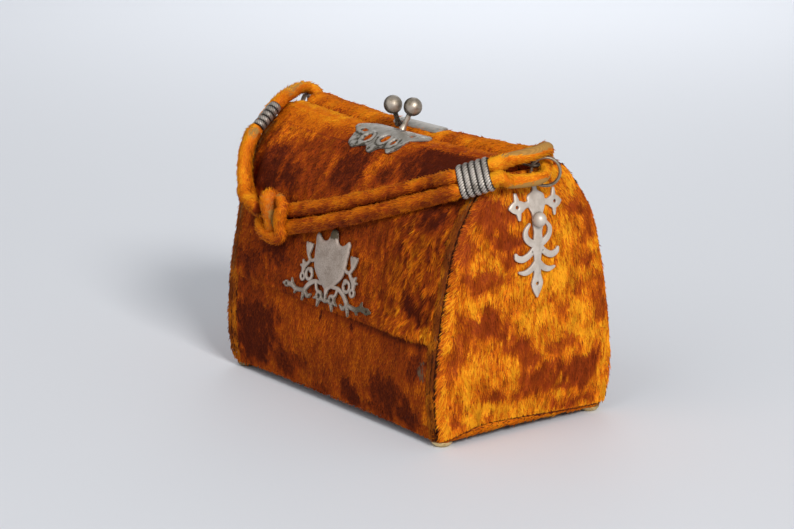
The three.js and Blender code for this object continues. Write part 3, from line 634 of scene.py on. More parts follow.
knot_parts = []
for number, (name, wear, girth_of) in enumerate((
        ("bight", bight_wear, bight_girth), ("band", band_wear, band_girth), ("back", no_wear, band_girth))):
    line = through(KNOT_ROUTES[name], CORD_STEP / 2)
    knot_parts += cord_parts(line, KNOT_LIE, KNOT_SEED + 3 * number, wear, girth_of(line))
latitude = np.linspace(KNOT_POLE, np.pi - KNOT_POLE, KNOT_FILL_STEPS)[:, None]
longitude = np.linspace(0, 2 * np.pi, 2 * KNOT_FILL_STEPS, endpoint=False)[None]
knot_fill = np.stack([
    KNOT["x"] + KNOT_CORE["x"] * np.sin(latitude) * np.cos(longitude),
    KNOT["y"] + KNOT_CORE["y"] * np.sin(latitude) * np.sin(longitude),
    KNOT["z"] + KNOT_CORE["z"] * np.cos(latitude) * np.ones_like(longitude),
], -1)
fill_part = ringed(knot_fill)
clad(fill_part, knot_fill, 0.35, 0.2)
knot = sew("handle_knot_plush", [*knot_parts, fill_part], cord_plush, "handle_knot")

for number, (name, rows) in enumerate(STRANDS.items()):
    start = at_ferrule(rows["side"], rows["rank"], inside)
    line = through(np.concatenate([start, rows["route"]]), CORD_STEP)
    wear = left_wear if rows["side"] == "left" else no_wear
    girth = pinched(walked(line))
    parts = cord_parts(line, STRAND_LIE, STRAND_SEED + number, wear, girth, (GRIPPED, 0))
    strand = sew(f"{name}_plush", parts, cord_plush, name)


# Base: a card slab covered in plush that turns up round its rim, arched up a little between the feet. Its
# pile is laid only where the rim shows, below the seam of the gussets.
HALF_LENGTH = 95.0
BASE_BOTTOM = 3.0
BASE_TOP = 9.0
BASE_HALF_DEPTH = 55.5
BASE_CORNER = 7.0
BASE_ARCH = 2.2
BASE_SPACING = 2.5
BASE_TURN_STEPS = 9
BASE_ARCH_SPAN = {"along": 86.0, "across": 46.0}
BASE_ENDS = 93.5
BASE_SEEN_FROM = 86.3
BASE_SEAM_BELOW = 1.4
BASE_SWAY = 0.2
BASE_PILE = {"length": 2.2, "width": 0.6, "lift": 0.14, "per_area": 3.2}
BASE_RIM = np.array([
    (-12, 3.0), (-3, 3.0), (-1.0, 3.5), (0, 5.0), (0.2, 6.4), (-0.6, 8.2), (-2.2, 9.0), (-12, 9.0)])


def box_plan(half_x, half_y, corner, spacing):
    """Outline of a rectangle with round corners, straight runs and quarter circles, and its outward ways."""
    reach = np.array([half_x, half_y]) - corner
    rows = []
    for quarter, (sx, sy) in enumerate(((1, 1), (-1, 1), (-1, -1), (1, -1))):
        turn = np.linspace(0, np.pi / 2, BASE_TURN_STEPS) + quarter * np.pi / 2
        way = np.stack([np.cos(turn), np.sin(turn)], -1)
        rows.append(np.concatenate([reach * (sx, sy) + corner * way, way], 1))
        run = 2 * reach[quarter % 2]
        share = np.linspace(0, 1, int(run / spacing) + 1)[1:-1, None]
        end_way = way[-1]
        start = reach * (sx, sy) + corner * end_way
        step_way = np.array([-end_way[1], end_way[0]])
        rows.append(np.concatenate([start + share * run * step_way, np.tile(end_way, (len(share), 1))], 1))
    outline = np.concatenate(rows)
    return outline[:, :2], outline[:, 2:]


plan, plan_out = box_plan(HALF_LENGTH, BASE_HALF_DEPTH, BASE_CORNER, BASE_SPACING)
inset, level = BASE_RIM[:, :1, None], BASE_RIM[:, 1]
base_rings = np.concatenate([
    plan + inset * plan_out,
    np.broadcast_to(level[:, None, None], (len(level), len(plan), 1)),
], -1)


def base_rise(place):
    """How far the base's lower edge arches up between the feet: a parabola along the front and back, and a
    smaller one along the ends."""
    along = BASE_ARCH * np.maximum(1 - (place[..., 0] / BASE_ARCH_SPAN["along"]) ** 2, 0)
    across = 0.4 * BASE_ARCH * np.maximum(1 - (place[..., 1] / BASE_ARCH_SPAN["across"]) ** 2, 0)
    return np.maximum(along, across)


base_rings[..., 2] += base_rise(base_rings) * (1 - ease(base_rings[..., 2], BASE_BOTTOM, 8))
base_skin = ringed(base_rings)


def base_seam(across):
    """Height of the seam between gusset and base: it runs out at the front and drops towards the back."""
    return 9.2 - 3.4 * ease(across, -25, 50) - 4.6 * (1 - ease(across, -56, -26))


def base_nap(place):
    """Nap on the base: gold along the rim with brown stretches."""
    ends = 0.22 * ease(np.abs(place[..., 0]), 88, 94)
    return 0.52 + ends + 0.22 * mottle(place, 17, 41) + 0.12 * mottle(place, 5, 42)


clad(base_skin, base_rings, 0.0, 0.0)
base_random = np.random.default_rng(43)
rim_rings = base_rings[2:6]
place, outward, _, _, _ = scatter(rim_rings, BASE_PILE["per_area"], base_random, closed=True)
outward = flipped(outward, place * [1, 1, 0])
past_wall = np.abs(place[:, 0])
seam_level = np.where(past_wall > BASE_ENDS, base_seam(place[:, 1]) - BASE_SEAM_BELOW, BASE_TOP)
below_seam = (past_wall > BASE_SEEN_FROM) & (place[:, 2] < seam_level)
place, outward = only(below_seam, place, outward)
hang = 0.15 + 1.4 * ease(-place[:, 0], 80, 86) * (place[:, 1] < 0)
along_rim = np.cross(outward, UPRIGHT) - hang[:, None] * UPRIGHT
along_rim = unit(along_rim + BASE_SWAY * base_random.normal(size=outward.shape))
base_fur = tufts(place, outward, along_rim, base_nap(place), BASE_PILE, base_random)
wall_plush = plush("wall plush", {**PLUSH_TONES, "Ground": linear(104, 82, 62)})
sew("base_plush", [base_skin, base_fur], wall_plush, "base")


# Feet: four brass domes nailed through the corners of the base. The right ones are polished, the back
# left one is darker, and the front left one is painted dark as shade, for it stands in shadow. The
# tarnish of all the metal is set here.
FOOT = {"radius": 5.5, "height": 2.7, "flat": 2.4, "x": 89.0, "y": 49.6}
# Relief of each foot: the front left one's low value is painted shade.
FOOT_POLISH_AND_SHADE = {
    ("front", "right"): 1.0, ("back", "right"): 1.0, ("front", "left"): 0.2, ("back", "left"): 0.6}
FOOT_STEPS = 14
ROUND_SIDES = 48
CLOUD_SCALE = 160.0
GRAIN_SCALE = 1400.0
GRAIN_GAIN = 0.6
AXIS = 0.01


def turned_piece(profile):
    """A turned body: each profile row, a radius and a height, swept round the upright axis."""
    angle = np.linspace(0, 2 * np.pi, ROUND_SIDES, endpoint=False)
    radius, height = np.asarray(profile, float).T[:, :, None]
    return np.stack([radius * np.cos(angle), radius * np.sin(angle), height + 0 * angle], -1)


def tarnish_group():
    """Tarnish on metal: dull patches by place, and dark where the relief attribute is low: hollows, and on
    some pieces painted shade.
    """
    tones = {"Clean": "colour", "Dull": "colour", "Hollow_and_shade": "colour"}
    group, ends, out = new_group("tarnish", tones, {"Color": "colour", "Rough": "value"})
    place = add_node(group, "ShaderNodeTexCoord", {}).outputs["Object"]
    cloud_inputs = {"Vector": place, "Scale": CLOUD_SCALE, "Detail": 5.0, "Roughness": 0.6}
    cloud = add_node(group, "ShaderNodeTexNoise", cloud_inputs)
    grain = add_node(group, "ShaderNodeTexNoise", {"Vector": place, "Scale": GRAIN_SCALE, "Detail": 3.0})
    relief = add_node(group, "ShaderNodeAttribute", {}, attribute_name="pile")
    split = add_node(group, "ShaderNodeSeparateColor", {0: relief.outputs["Color"]})
    dull = stepped(group, cloud.outputs[0], 0.40, 0.68)
    body = blended(group, dull, ends.outputs["Clean"], ends.outputs["Dull"])
    uneven = maths(group, "SUBTRACT", grain.outputs[0], 0.5)
    grainy = maths(group, "MULTIPLY_ADD", uneven, GRAIN_GAIN, split.outputs[0])
    raised = stepped(group, grainy, 0.05, 0.55)
    group.links.new(blended(group, raised, ends.outputs["Hollow_and_shade"], body), out.inputs["Color"])
    rough = maths(group, "MULTIPLY_ADD", dull, 0.14, maths(group, "MULTIPLY_ADD", raised, -0.12, 0.50))
    group.links.new(maths(group, "MULTIPLY_ADD", grain.outputs[0], 0.14, rough), out.inputs["Rough"])
    return group


tarnish = tarnish_group()


def metal(name, clean, dull, hollow, metallic=0.75):
    """Metal with the shared tarnish in its own three tones; the less metallic, the duller its skin."""
    material, shader, look = toned(name, tarnish, {"Clean": clean, "Dull": dull, "Hollow_and_shade": hollow})
    material.node_tree.links.new(look.outputs["Rough"], shader.inputs["Roughness"])
    shader.inputs["Metallic"].default_value = metallic
    return material


def relief_values(relief):
    """Pile values of a metal piece: only the first, its relief, is used."""
    values = np.ones((np.size(relief), 4))
    values[:, 0] = np.ravel(relief)
    return values


brass = metal("foot brass", linear(222, 200, 150), linear(170, 146, 92), linear(70, 52, 24))
dome = np.linspace(0, np.pi / 2, FOOT_STEPS)
foot_profile = np.concatenate([
    [(AXIS, 0)],
    np.stack([FOOT["flat"] + (FOOT["radius"] - FOOT["flat"]) * np.sin(dome),
              FOOT["height"] * (1 - np.cos(dome))], -1),
    [(AXIS, FOOT["height"])],
])
for end, sx in ENDS:
    for face, sy in FACES:
        foot = ringed(turned_piece(foot_profile) + [sx * FOOT["x"], sy * FOOT["y"], 0])
        foot["values"] = relief_values(np.full(len(foot["points"]), FOOT_POLISH_AND_SHADE[face, end]))
        sew(f"foot_{face}_{end}_brass", [foot], brass, f"foot_{face}_{end}")


# Walls: plush over card. Front, back and the flap hang between the welts, and arched gussets close
# the ends. Pile lies downwards and is crushed into bright and dark patches.
CLOTH = 2.4
FRONT_BULGE = 2.0
BACK_BULGE = 4.6
LEFT_SHOULDER = 3.2
END_BULGE = 6.0
FRAME_SAG = 3.2
WELT_WIDTH = 8.4
WELT_BURIED = 2.2
WALL_BOTTOM = BASE_TOP + GAP
FRONT_TOP = 137.1
BACK_TOP = 138.5
FLAP_BOTTOM = 54.5
FLAP_ROLL = 1.2
FLAP_OVER = 1.8
FLAP_HEM = 0.8
FRONT_TUCK = 4
SEAM_HEM = 0.5
END_TOP = 138.4
PANEL_HALF = HALF_LENGTH - WELT_WIDTH - GAP
WALL_STEP = 2.8
WALL_WAVES = 0.55
WALL_PILE = {"length": 2.5, "width": 0.72, "lift": 0.13, "per_area": 2.2,
             "vary": 0.06, "gap_shade": 0.15, "clump": 0.35}
END_PILE = {"length": 3.4, "width": 0.76, "lift": 0.12, "per_area": 2.9, "relief": 0.9,
            "vary": 0.11, "gap_shade": 0.26, "clump": 0.6}
LEFT_PILE = {"length": 3.6, "width": 1.2, "lift": 0.11, "per_area": 1.15, "relief": 0.9,
             "vary": 0.1, "gap_shade": 0.24, "clump": 0.5}
BACK_PILE = {"length": 3.8, "width": 1.25, "lift": 0.10, "per_area": 0.85,
             "vary": 0.08, "gap_shade": 0.2, "clump": 0.4}
FLAP_PILE = {"length": 2.0, "width": 0.74, "lift": 0.2, "per_area": 2.1,
             "vary": 0.08, "gap_shade": 0.16, "clump": 0.5}
PILE_BOTTOM = 4.6
PLAIN_VARY = 0.04
WALL_SWAY = 0.07
RUFFLE_LENGTH = 0.9
COVER_COLUMNS = 40
GUSSET_COLUMNS = 38
GUSSET_WAVES = 0.7
COVER_OUT = 0.2
COVER_PAST = {"front": 1.7, "back": 0.4}
COVER_TURN = 1.4
SEAM_HALF = 55
GAP_SHADE_SHARE = 0.14
CLUMP_SIZE = 2.6
END_ARCH = np.array([
    (3, 55.2), (25, 57.8), (50, 56.2), (80, 51.1), (110, 43.1), (130, 30.3), (142, 19.2), (150, 9)])


def arch_half(z):
    """Half depth of the end arch at a height."""
    return cubic(END_ARCH[:, 0], END_ARCH[:, 1], np.asarray(z, float))[..., 0]


def arch_slope(z):
    """Slope of the arch's half depth, over a millimetre."""
    return arch_half(z + 0.5) - arch_half(z - 0.5)


def midspan(x):
    """One in the middle of the bag's length, falling as a parabola to nothing at its ends."""
    return 1 - (x / HALF_LENGTH) ** 2


def wall_point(side, x, z, out):
    """Point of the front (-1) or back (1) wall: the arch's half depth plus a swell between base and frame,
    moved out along the arch's normal, and sunk near the frame, which sags in the middle. The front's left
    shoulder is fuller."""
    bulge = FRONT_BULGE if side < 0 else BACK_BULGE
    swell = bulge * midspan(x) * ease(z, 3, 40) * (1 - ease(z, 105, 140))
    if side < 0:
        swell = swell + LEFT_SHOULDER * ease(-x, 45, 90) * bump(z, 126, 13)
    slope = arch_slope(z)
    level = 1 / np.hypot(1, slope)
    depth = arch_half(z) + swell + out * level
    height = z - FRAME_SAG * midspan(x) * ease(z, 100, 140) - out * slope * level
    return np.stack(np.broadcast_arrays(x, side * depth, height), -1)


def end_half(z):
    """Half width of the gusset between the welts."""
    return arch_half(z) - (WELT_BURIED + GAP) * np.hypot(1, arch_slope(z))


def end_point(side, share, z, out):
    """Point of an end gusset: share of its half width, and a swell fading at the seams, base and frame."""
    swell = END_BULGE * np.maximum(1 - share**2, 0) * ease(z, 3, 40) * (1 - ease(z, 110, 146))
    x = side * (HALF_LENGTH + swell + out)
    return np.stack(np.broadcast_arrays(x, share * end_half(z), z), -1)


def shell(outer, inner):
    """Closed wall between two grids of points of the same size, with quads all round the rim."""
    rows, columns = outer.shape[:2]
    number = np.arange(rows * columns).reshape(rows, columns)
    cells = np.stack([number[:-1, :-1], number[1:, :-1], number[1:, 1:], number[:-1, 1:]], -1).reshape(-1, 4)
    rim = np.concatenate([number[0, :-1], number[:-1, -1], number[-1, :0:-1], number[:0:-1, 0]])
    following = np.roll(rim, -1)
    layer = rows * columns
    sides = np.stack([rim, following, following + layer, rim + layer], -1)
    points = np.concatenate([outer.reshape(-1, 3), inner.reshape(-1, 3)])
    return {"points": points, "faces": [cells, cells[:, ::-1] + layer, sides]}


def charted(across, up, patches, nap):
    """Nap with charted patches: each row's ellipse, with a ragged edge, blends the nap to its value."""
    ragged = np.stack([across, up, 0 * up], -1)
    across = across + 3.2 * mottle(ragged, 9, 53)
    up = up + 3.2 * mottle(ragged, 9, 54)
    for x, z, half_x, half_z, value in patches:
        reach = np.hypot((across - x) / half_x, (up - z) / half_z)
        reach = reach + 0.30 * mottle(ragged, 7, 51) + 0.34 * mottle(ragged * [1, 0.7, 1], 2.6, 52)
        nap = nap + (value - nap) * (1 - ease(reach, 0.55, 1.3))
    return nap


def wall_parts(outer, inner, cover, nap_of, pile, seed, hem, ruffle_of=None, worn_of=None, comb_of=None):
    """A plush wall: its closed shell, and tufts over the cover, a grid on its outer side that may reach past
    its edges. They lie down the cover's columns with a sway and end at the hem, a height for each place.
    ruffle_of gives where the pile is longer and tousled, worn_of where it is rubbed off, and comb_of a turn
    across."""
    random = np.random.default_rng(seed)
    cloth = shell(outer, inner)
    values = clad(cloth, outer, 0.3, 0.1)
    values[:, 0] = nap_of(cloth["points"])
    if worn_of is not None:
        values[:, 3] = worn_of(cloth["points"])
    place, outward, down, _, _ = scatter(cover, pile["per_area"], random)
    if worn_of is not None:
        keep = random.random(len(place)) > worn_of(place)
        place, outward, down = only(keep, place, outward, down)
    out_way = outer.reshape(-1, 3).mean(0) - inner.reshape(-1, 3).mean(0)
    outward = flipped(outward, out_way)
    ruffle = np.zeros(len(place)) if ruffle_of is None else ruffle_of(place)
    drift = 0.25 * mottle(place, 16, seed + 1) + (0.12 + 0.5 * ruffle) * mottle(place, 4, seed + 2)
    across = np.cross(outward, down)
    if comb_of is not None:
        drift = drift + comb_of(place)
    lie = unit(down + (drift + WALL_SWAY * random.normal(size=len(place)))[:, None] * across)
    nap = nap_of(place) + 0.34 * ruffle * mottle(place * [1, 1, 0.35], 1.7, seed + 3)
    gold = ease(nap, 0.4, 0.8)
    nap += (PLAIN_VARY + pile["vary"] * gold) * random.normal(size=len(place))
    # Painted shade between clumps of pile: a share of the gold tufts is darkened, as the gaps between them.
    nap -= pile["gap_shade"] * gold * (random.random(len(place)) < GAP_SHADE_SHARE)
    field = place * [1, 1, 0.5]
    lean = mottle(field, CLUMP_SIZE, seed + 4)[:, None] * across
    lean = lean + mottle(field, CLUMP_SIZE, seed + 5)[:, None] * down
    stretch = 1 + RUFFLE_LENGTH * ruffle
    fur = tufts(place, outward, lie, nap, pile, random, stretch, hem(place)[:, None], pile["clump"] * lean)
    return [cloth, fur]


def wall_grid(side, x_half, bottom, top, out_of):
    """Grid of a front or back wall from its top row down, moved out by out_of(x, z)."""
    columns = int(2 * x_half / WALL_STEP) + 1
    rows = int((top - bottom) / WALL_STEP) + 1
    z, x = np.meshgrid(np.linspace(top, bottom, rows), np.linspace(-x_half, x_half, columns), indexing="ij")
    return wall_point(side, x, z, out_of(x, z))


def soft_waves(x, z, seed):
    """Shallow unevenness of the padded walls."""
    flat = np.stack([x, z, 0 * x], -1)
    return WALL_WAVES * (mottle(flat, 26, seed) + 0.5 * mottle(flat, 11, seed + 1)) * ease(z, 9, 22)


FRONT_PATCHES = (
    (-66, 36, 24, 12, 0.10), (-70, 20, 22, 12, 0.07), (-40, 14, 9, 9, 0.18), (-90, 30, 4, 34, 0.46),
    (20, 13, 6.5, 8, 0.10), (-28, 19, 8, 6, 0.27), (55, 20, 14, 11, 0.14), (70, 12, 9, 8, 0.12),
    (-8, 9, 10, 4, 0.28), (78, 41, 8, 9, 0.20), (62, 46, 8, 6, 0.34), (85, 17, 5, 5, 0.80),
    (82, 28, 5, 6, 0.58), (-3.5, 50.5, 1.0, 2.6, -0.1), (24.5, 49.5, 1.0, 3.6, -0.1),
    (-75, 50, 20, 5, 0.28), (40, 9, 12, 4, 0.24),
)
BALD_SPOT = (83, 38, 4.4, 8.0)
FLAP_PATCHES = (
    (-68, 138, 30, 9, 0.64), (-45, 141, 8, 5, 0.42), (-50, 130, 10, 5, 0.36), (-68, 114, 24, 11, 0.10),
    (-85, 114, 5, 7, 0.34), (-62, 117, 3, 7, 0.36), (-38, 108, 4, 7, 0.38), (-32, 117, 9, 6, 0.28),
    (-8, 127, 15, 10, 0.13), (-24, 126, 4, 8, 0.50), (-40, 127, 6, 6, 0.34), (13, 131, 7, 8, 0.58),
    (29, 137, 8, 5, 0.42), (22, 126, 7, 4, 0.20), (38, 133, 10, 6, 0.24), (57, 142, 22, 6, 0.04),
    (50, 136, 14, 5, 0.04), (75, 118, 13, 6, 0.13), (62, 130, 24, 8, 0.02), (74, 135, 14, 5, 0.04),
    (70, 90, 18, 9, 0.50), (74, 72, 10, 8, 0.10), (84, 59, 7, 5, 0.62), (55, 64, 14, 8, 0.48),
    (-48, 82, 14, 13, 0.10), (-70, 88, 20, 6, 0.20), (-86, 78, 6, 20, 0.44),
    (-75, 65, 18, 8, 0.18), (-55, 61, 10, 6, 0.34), (-30, 75, 8, 12, 0.36), (30, 100, 26, 8, 0.36),
)
END_PATCHES = (
    (-24, 119, 12, 9, 0.30), (-17, 106, 9, 7, 0.22), (-41, 108, 6, 16, 0.40), (-28, 104, 4, 5, 0.66),
    (-20, 96, 9, 4, 0.32), (-32, 87, 15, 5, 0.36), (-24, 95, 4, 3, 0.80), (-28, 77, 16, 4, 0.88),
    (-29, 62, 14, 8, 0.24), (-41, 63, 6, 9, 0.44), (-9, 51, 8, 5, 0.20), (-2, 44, 10, 4, 0.32),
    (-46, 47, 6, 11, 0.42), (4, 31, 15, 10, 0.27), (-25, 25, 8, 6, 0.33), (36, 32, 19, 9, 0.15),
    (24, 23, 9, 5, 0.26), (20, 45, 12, 4, 0.38), (32, 11, 13, 3, 0.28), (30, 117, 8, 6, 0.30),
    (39, 107, 5, 10, 0.36), (37, 86, 6, 5, 0.36), (47, 70, 6, 8, 0.38), (23, 62, 6, 6, 0.50),
    (12, 73, 4, 4, 0.42), (33, 74, 5, 3, 0.42), (51, 58, 5, 8, 0.40), (-43, 14, 8, 4, 0.36),
    (12, 85, 13, 11, 1.0), (5, 62, 14, 7, 1.0), (31, 60, 8, 10, 1.0), (45, 48, 8, 5, 1.0),
    (-39, 35, 7, 9, 0.95), (-15, 38, 6, 7, 0.92), (-32, 16, 11, 5, 1.0), (-8, 13, 15, 4, 0.95),
    (20, 102, 7, 14, 0.90), (26, 128, 6, 8, 0.85), (53, 22, 5, 13, 0.90),
)


def front_nap(place):
    """Nap of the lower front: an even brown with charted dark patches, and a painted shadow of the flap just
    below it.
    """
    nap = 0.45 + 0.09 * mottle(place * [1, 1, 0.3], 3, 61) + 0.05 * mottle(place, 20, 62)
    # Painted shadow of the flap's rolled edge on the cloth below it.
    near_flap = ease(place[..., 2], FLAP_BOTTOM - 5, FLAP_BOTTOM - 1)
    shadow = 0.30 * near_flap * (0.2 + 0.8 * ease(place[..., 0], -10, 45))
    return charted(place[..., 0], place[..., 2], FRONT_PATCHES, nap) - shadow


def front_worn(place):
    """Wear of the lower front: one bald spot beside the right welt."""
    x, z, half_x, half_z = BALD_SPOT
    reach = np.hypot((place[..., 0] - x) / half_x, (place[..., 2] - z) / half_z)
    return 0.85 * (1 - ease(reach + 0.4 * mottle(place, 2.5, 57), 0.4, 1.1))


def flap_nap(place):
    """Nap of the flap: brown with charted light and dark patches."""
    nap = 0.42 + 0.14 * mottle(place * [1, 1, 0.7], 3.6, 63) + 0.06 * mottle(place, 20, 64)
    return charted(place[..., 0], place[..., 2], FLAP_PATCHES, nap)


def back_nap(place):
    """Nap of the back: brown and gold patches by chance."""
    streak = place * [1, 1, 0.55]
    return 0.46 + 0.42 * mottle(streak, 21, 65) + 0.16 * mottle(streak, 8, 66)


def right_end_nap(place):
    """Nap of the right gusset: gold with charted rust and bright patches, and along its front seam a slightly
    darker band and, right at the edge, a lighter line of painted sheen.
    """
    nap = 0.74 + 0.16 * mottle(place, 8, 60) + 0.10 * mottle(place, 4, 59)
    nap = 0.10 + 0.88 * charted(place[..., 1], place[..., 2], END_PATCHES, nap)
    streak = mottle(place * [1, 1, 0.22], 1.3, 67) + 0.6 * mottle(place * [1, 1, 0.4], 3.2, 70)
    edge = place[..., 1] + end_half(place[..., 2])
    # Painted sheen: a lighter line right along the front seam, with a slightly darker band beside it.
    seam = 0.12 * (1 - ease(edge + 3 * mottle(place, 6, 58), -1, 9)) - 0.17 * bump(edge, 1.5, 2.2)
    return nap - seam + (0.05 + 0.17 * ease(nap, 0.4, 0.8)) * streak


def left_end_nap(place):
    """Nap of the left gusset: gold and rust patches by chance."""
    streak = place * [1, 1, 0.6]
    return 0.62 + 0.44 * mottle(streak, 18, 68) + 0.16 * mottle(streak, 7, 69)


def under_edge(place):
    """Height at which the pile of the front and back rolls under: the base's lower edge, less at the left."""
    return BASE_BOTTOM + base_rise(place) + 0.3 - 2 * ease(-place[..., 0], 76, 82)


front_outer = wall_grid(-1, PANEL_HALF, WALL_BOTTOM, FRONT_TOP,
                        lambda x, z: soft_waves(x, z, 71) * (z < FLAP_BOTTOM))
front_inner = wall_grid(-1, PANEL_HALF, WALL_BOTTOM, FRONT_TOP, lambda x, z: -CLOTH)
front_cover = wall_grid(-1, PANEL_HALF, PILE_BOTTOM, FLAP_BOTTOM + FRONT_TUCK,
                        lambda x, z: soft_waves(x, z, 71))
front_parts = wall_parts(front_outer, front_inner, front_cover, front_nap, WALL_PILE, 72, under_edge,
                         worn_of=front_worn)
sew("front_panel_plush", front_parts, wall_plush, "front_panel")


def flap_out(x, z):
    """The flap's outer side: a cloth's thickness off the front, rolled at its lower edge."""
    up = z - FLAP_BOTTOM
    full = 0.2 + 0.8 * ease(x, 25, 60) - 0.6 * ease(x, 74, 86)
    roll = full * (1.9 * FLAP_ROLL * bump(up, 3.2, 3.8) - 1.8 * (1 - ease(up, 0, 2.4)) ** 2)
    roll -= (1 - full) * 1.9 * (1 - ease(up, 0, 5))
    return (GAP + CLOTH + roll + soft_waves(x, z, 73)) * (1 - 0.6 * ease(np.abs(x), 79, PANEL_HALF))


flap_outer = wall_grid(-1, PANEL_HALF, FLAP_BOTTOM, FRONT_TOP, flap_out)
flap_inner = wall_grid(-1, PANEL_HALF, FLAP_BOTTOM, FRONT_TOP, lambda x, z: GAP + 0 * x)


def flap_ruffle(place):
    """Where the flap's pile is tousled: beside the right welt and right of the ornament."""
    return ease(place[:, 0], 36, 62) * (1 - ease(place[:, 2], 112, 134))


flap_cover = wall_grid(-1, PANEL_HALF + FLAP_OVER, FLAP_BOTTOM, FRONT_TOP, flap_out)
flap_parts = wall_parts(flap_outer, flap_inner, flap_cover, flap_nap, FLAP_PILE, 74,
                        lambda place: np.full(len(place), FLAP_BOTTOM - FLAP_HEM), flap_ruffle)
sew("front_flap_plush", flap_parts, wall_plush, "front_flap")

back_outer = wall_grid(1, PANEL_HALF, WALL_BOTTOM, BACK_TOP, lambda x, z: soft_waves(x, z, 75))
back_inner = wall_grid(1, PANEL_HALF, WALL_BOTTOM, BACK_TOP, lambda x, z: -CLOTH)
back_cover = wall_grid(1, PANEL_HALF, PILE_BOTTOM, BACK_TOP, lambda x, z: soft_waves(x, z, 75))
back_parts = wall_parts(back_outer, back_inner, back_cover, back_nap, BACK_PILE, 76, under_edge)
sew("back_panel_plush", back_parts, wall_plush, "back_panel")


def over_seam(place):
    """Turn of the right gusset's pile forward, over its front seam."""
    return -1.5 * (1 - ease(place[:, 1] + end_half(place[:, 2]), -0.5, 4))


def gusset_cover(sign, seed):
    """Grid for the gusset's pile: from the front welt's edge over the back welt's end, down to the seam."""
    rows = int((END_TOP - BASE_TOP) / WALL_STEP) + 1
    drop, share = np.meshgrid(np.linspace(0, 1, rows), np.linspace(0, 1, COVER_COLUMNS), indexing="ij")
    low = base_seam(SEAM_HALF * (2 * share - 1))
    z = END_TOP + (low - END_TOP) * drop
    front = -end_half(z) - COVER_PAST["front"]
    back = arch_half(z) + COVER_PAST["back"] - COVER_TURN * (1 - ease(z, 4, 24))
    across = front + (back - front) * share
    return end_point(sign, across / end_half(z), z, COVER_OUT + GUSSET_WAVES * soft_waves(across, z, seed))


gold_plush = plush("gusset plush", {**PLUSH_TONES, "Dark": linear(116, 40, 6)})
for end, sign, nap_of, pile, comb_of, seed in (
        ("right", 1, right_end_nap, END_PILE, over_seam, 81),
        ("left", -1, left_end_nap, LEFT_PILE, None, 84)):
    rows = int((END_TOP - WALL_BOTTOM) / WALL_STEP) + 1
    z, share = np.meshgrid(
        np.linspace(END_TOP, WALL_BOTTOM, rows), np.linspace(-1, 1, GUSSET_COLUMNS), indexing="ij")
    gusset_outer = end_point(sign, share, z, GUSSET_WAVES * soft_waves(share * end_half(z), z, seed))
    gusset_inner = end_point(sign, share, z, -CLOTH)
    gusset_parts = wall_parts(gusset_outer, gusset_inner, gusset_cover(sign, seed), nap_of, pile, seed,
                              lambda place: base_seam(place[:, 1]) - SEAM_HEM, comb_of=comb_of)
    sew(f"end_panel_{end}_plush", gusset_parts, gold_plush, f"end_panel_{end}")


# Welts: bindings over the end seams, their pile worn to a flat grey-brown weave above and to two thin
# ridges below, with a groove along the gusset whose cloth is painted darker as shade, and whose tufts are
# painted dark as shade on the right welts.
WELT_PROUD = 0.8
WELT_RIDGE = 0.14
WELT_GROOVE_SHADE = {"right": 0.7, "left": -0.2}
WELT_NAP = {
    ("front", "right"): 0.52, ("front", "left"): 0.44, ("back", "right"): 0.74, ("back", "left"): 0.62}
WELT_GROOVE = (0.83, 0.05)
WELT_COLUMNS = 31
WELT_CORNER = 2.5
WELT_STEP = 2.2
WELT_SWAY = 0.2
WELT_PILE = {"length": 2.4, "width": 0.68, "lift": 0.12, "per_area": 2.0}


binding = plush("worn binding", {
    "Dark": linear(56, 20, 4), "Rust": linear(124, 56, 10), "Gold": linear(186, 100, 12),
    "Bright": linear(228, 142, 24), "Ground": linear(128, 92, 50)})


def welt_crown(share, z):
    """Height of the welt across its width: above, a flat tape with a groove near the gusset, and below, two
    thin ridges."""
    tape = 1 - np.abs(2 * share - 1) ** 6
    ridges = 0.2 + 0.8 * np.maximum(bump(share, 0.30, 0.09), bump(share, 0.64, 0.09))
    low = 1 - ease(z, 40, 58)
    groove = 1 - 0.6 * bump(share, *WELT_GROOVE) * (1 - 0.5 * low)
    return (tape * (1 - low) + tape * ridges * low) * groove


def welt_face(sx, sy, bottom):
    """Grid of a welt's outer side down to a level: the wall's curve, raised by the crown with a slight waver
    and drawn in at the base's corner. Returns x and z, the share of its width, the crown and the points."""
    rows = int((END_TOP - bottom) / WELT_STEP) + 1
    heights = np.linspace(END_TOP, bottom, rows)
    z, share = np.meshgrid(heights, np.linspace(0, 1, WELT_COLUMNS), indexing="ij")
    drawn_in = WELT_CORNER * share**2 * (1 - ease(z, PILE_BOTTOM, WALL_BOTTOM))
    x = sx * (HALF_LENGTH - WELT_WIDTH * (1 - share) - drawn_in)
    crown = welt_crown(share, z) * ease(z, WALL_BOTTOM - 2, 18)
    waver = 0.25 * mottle(np.stack([x, sy * 30 + 0 * x, z], -1), 9, 91)
    return x, z, share, crown, wall_point(sy, x, z, WELT_PROUD * crown + waver)


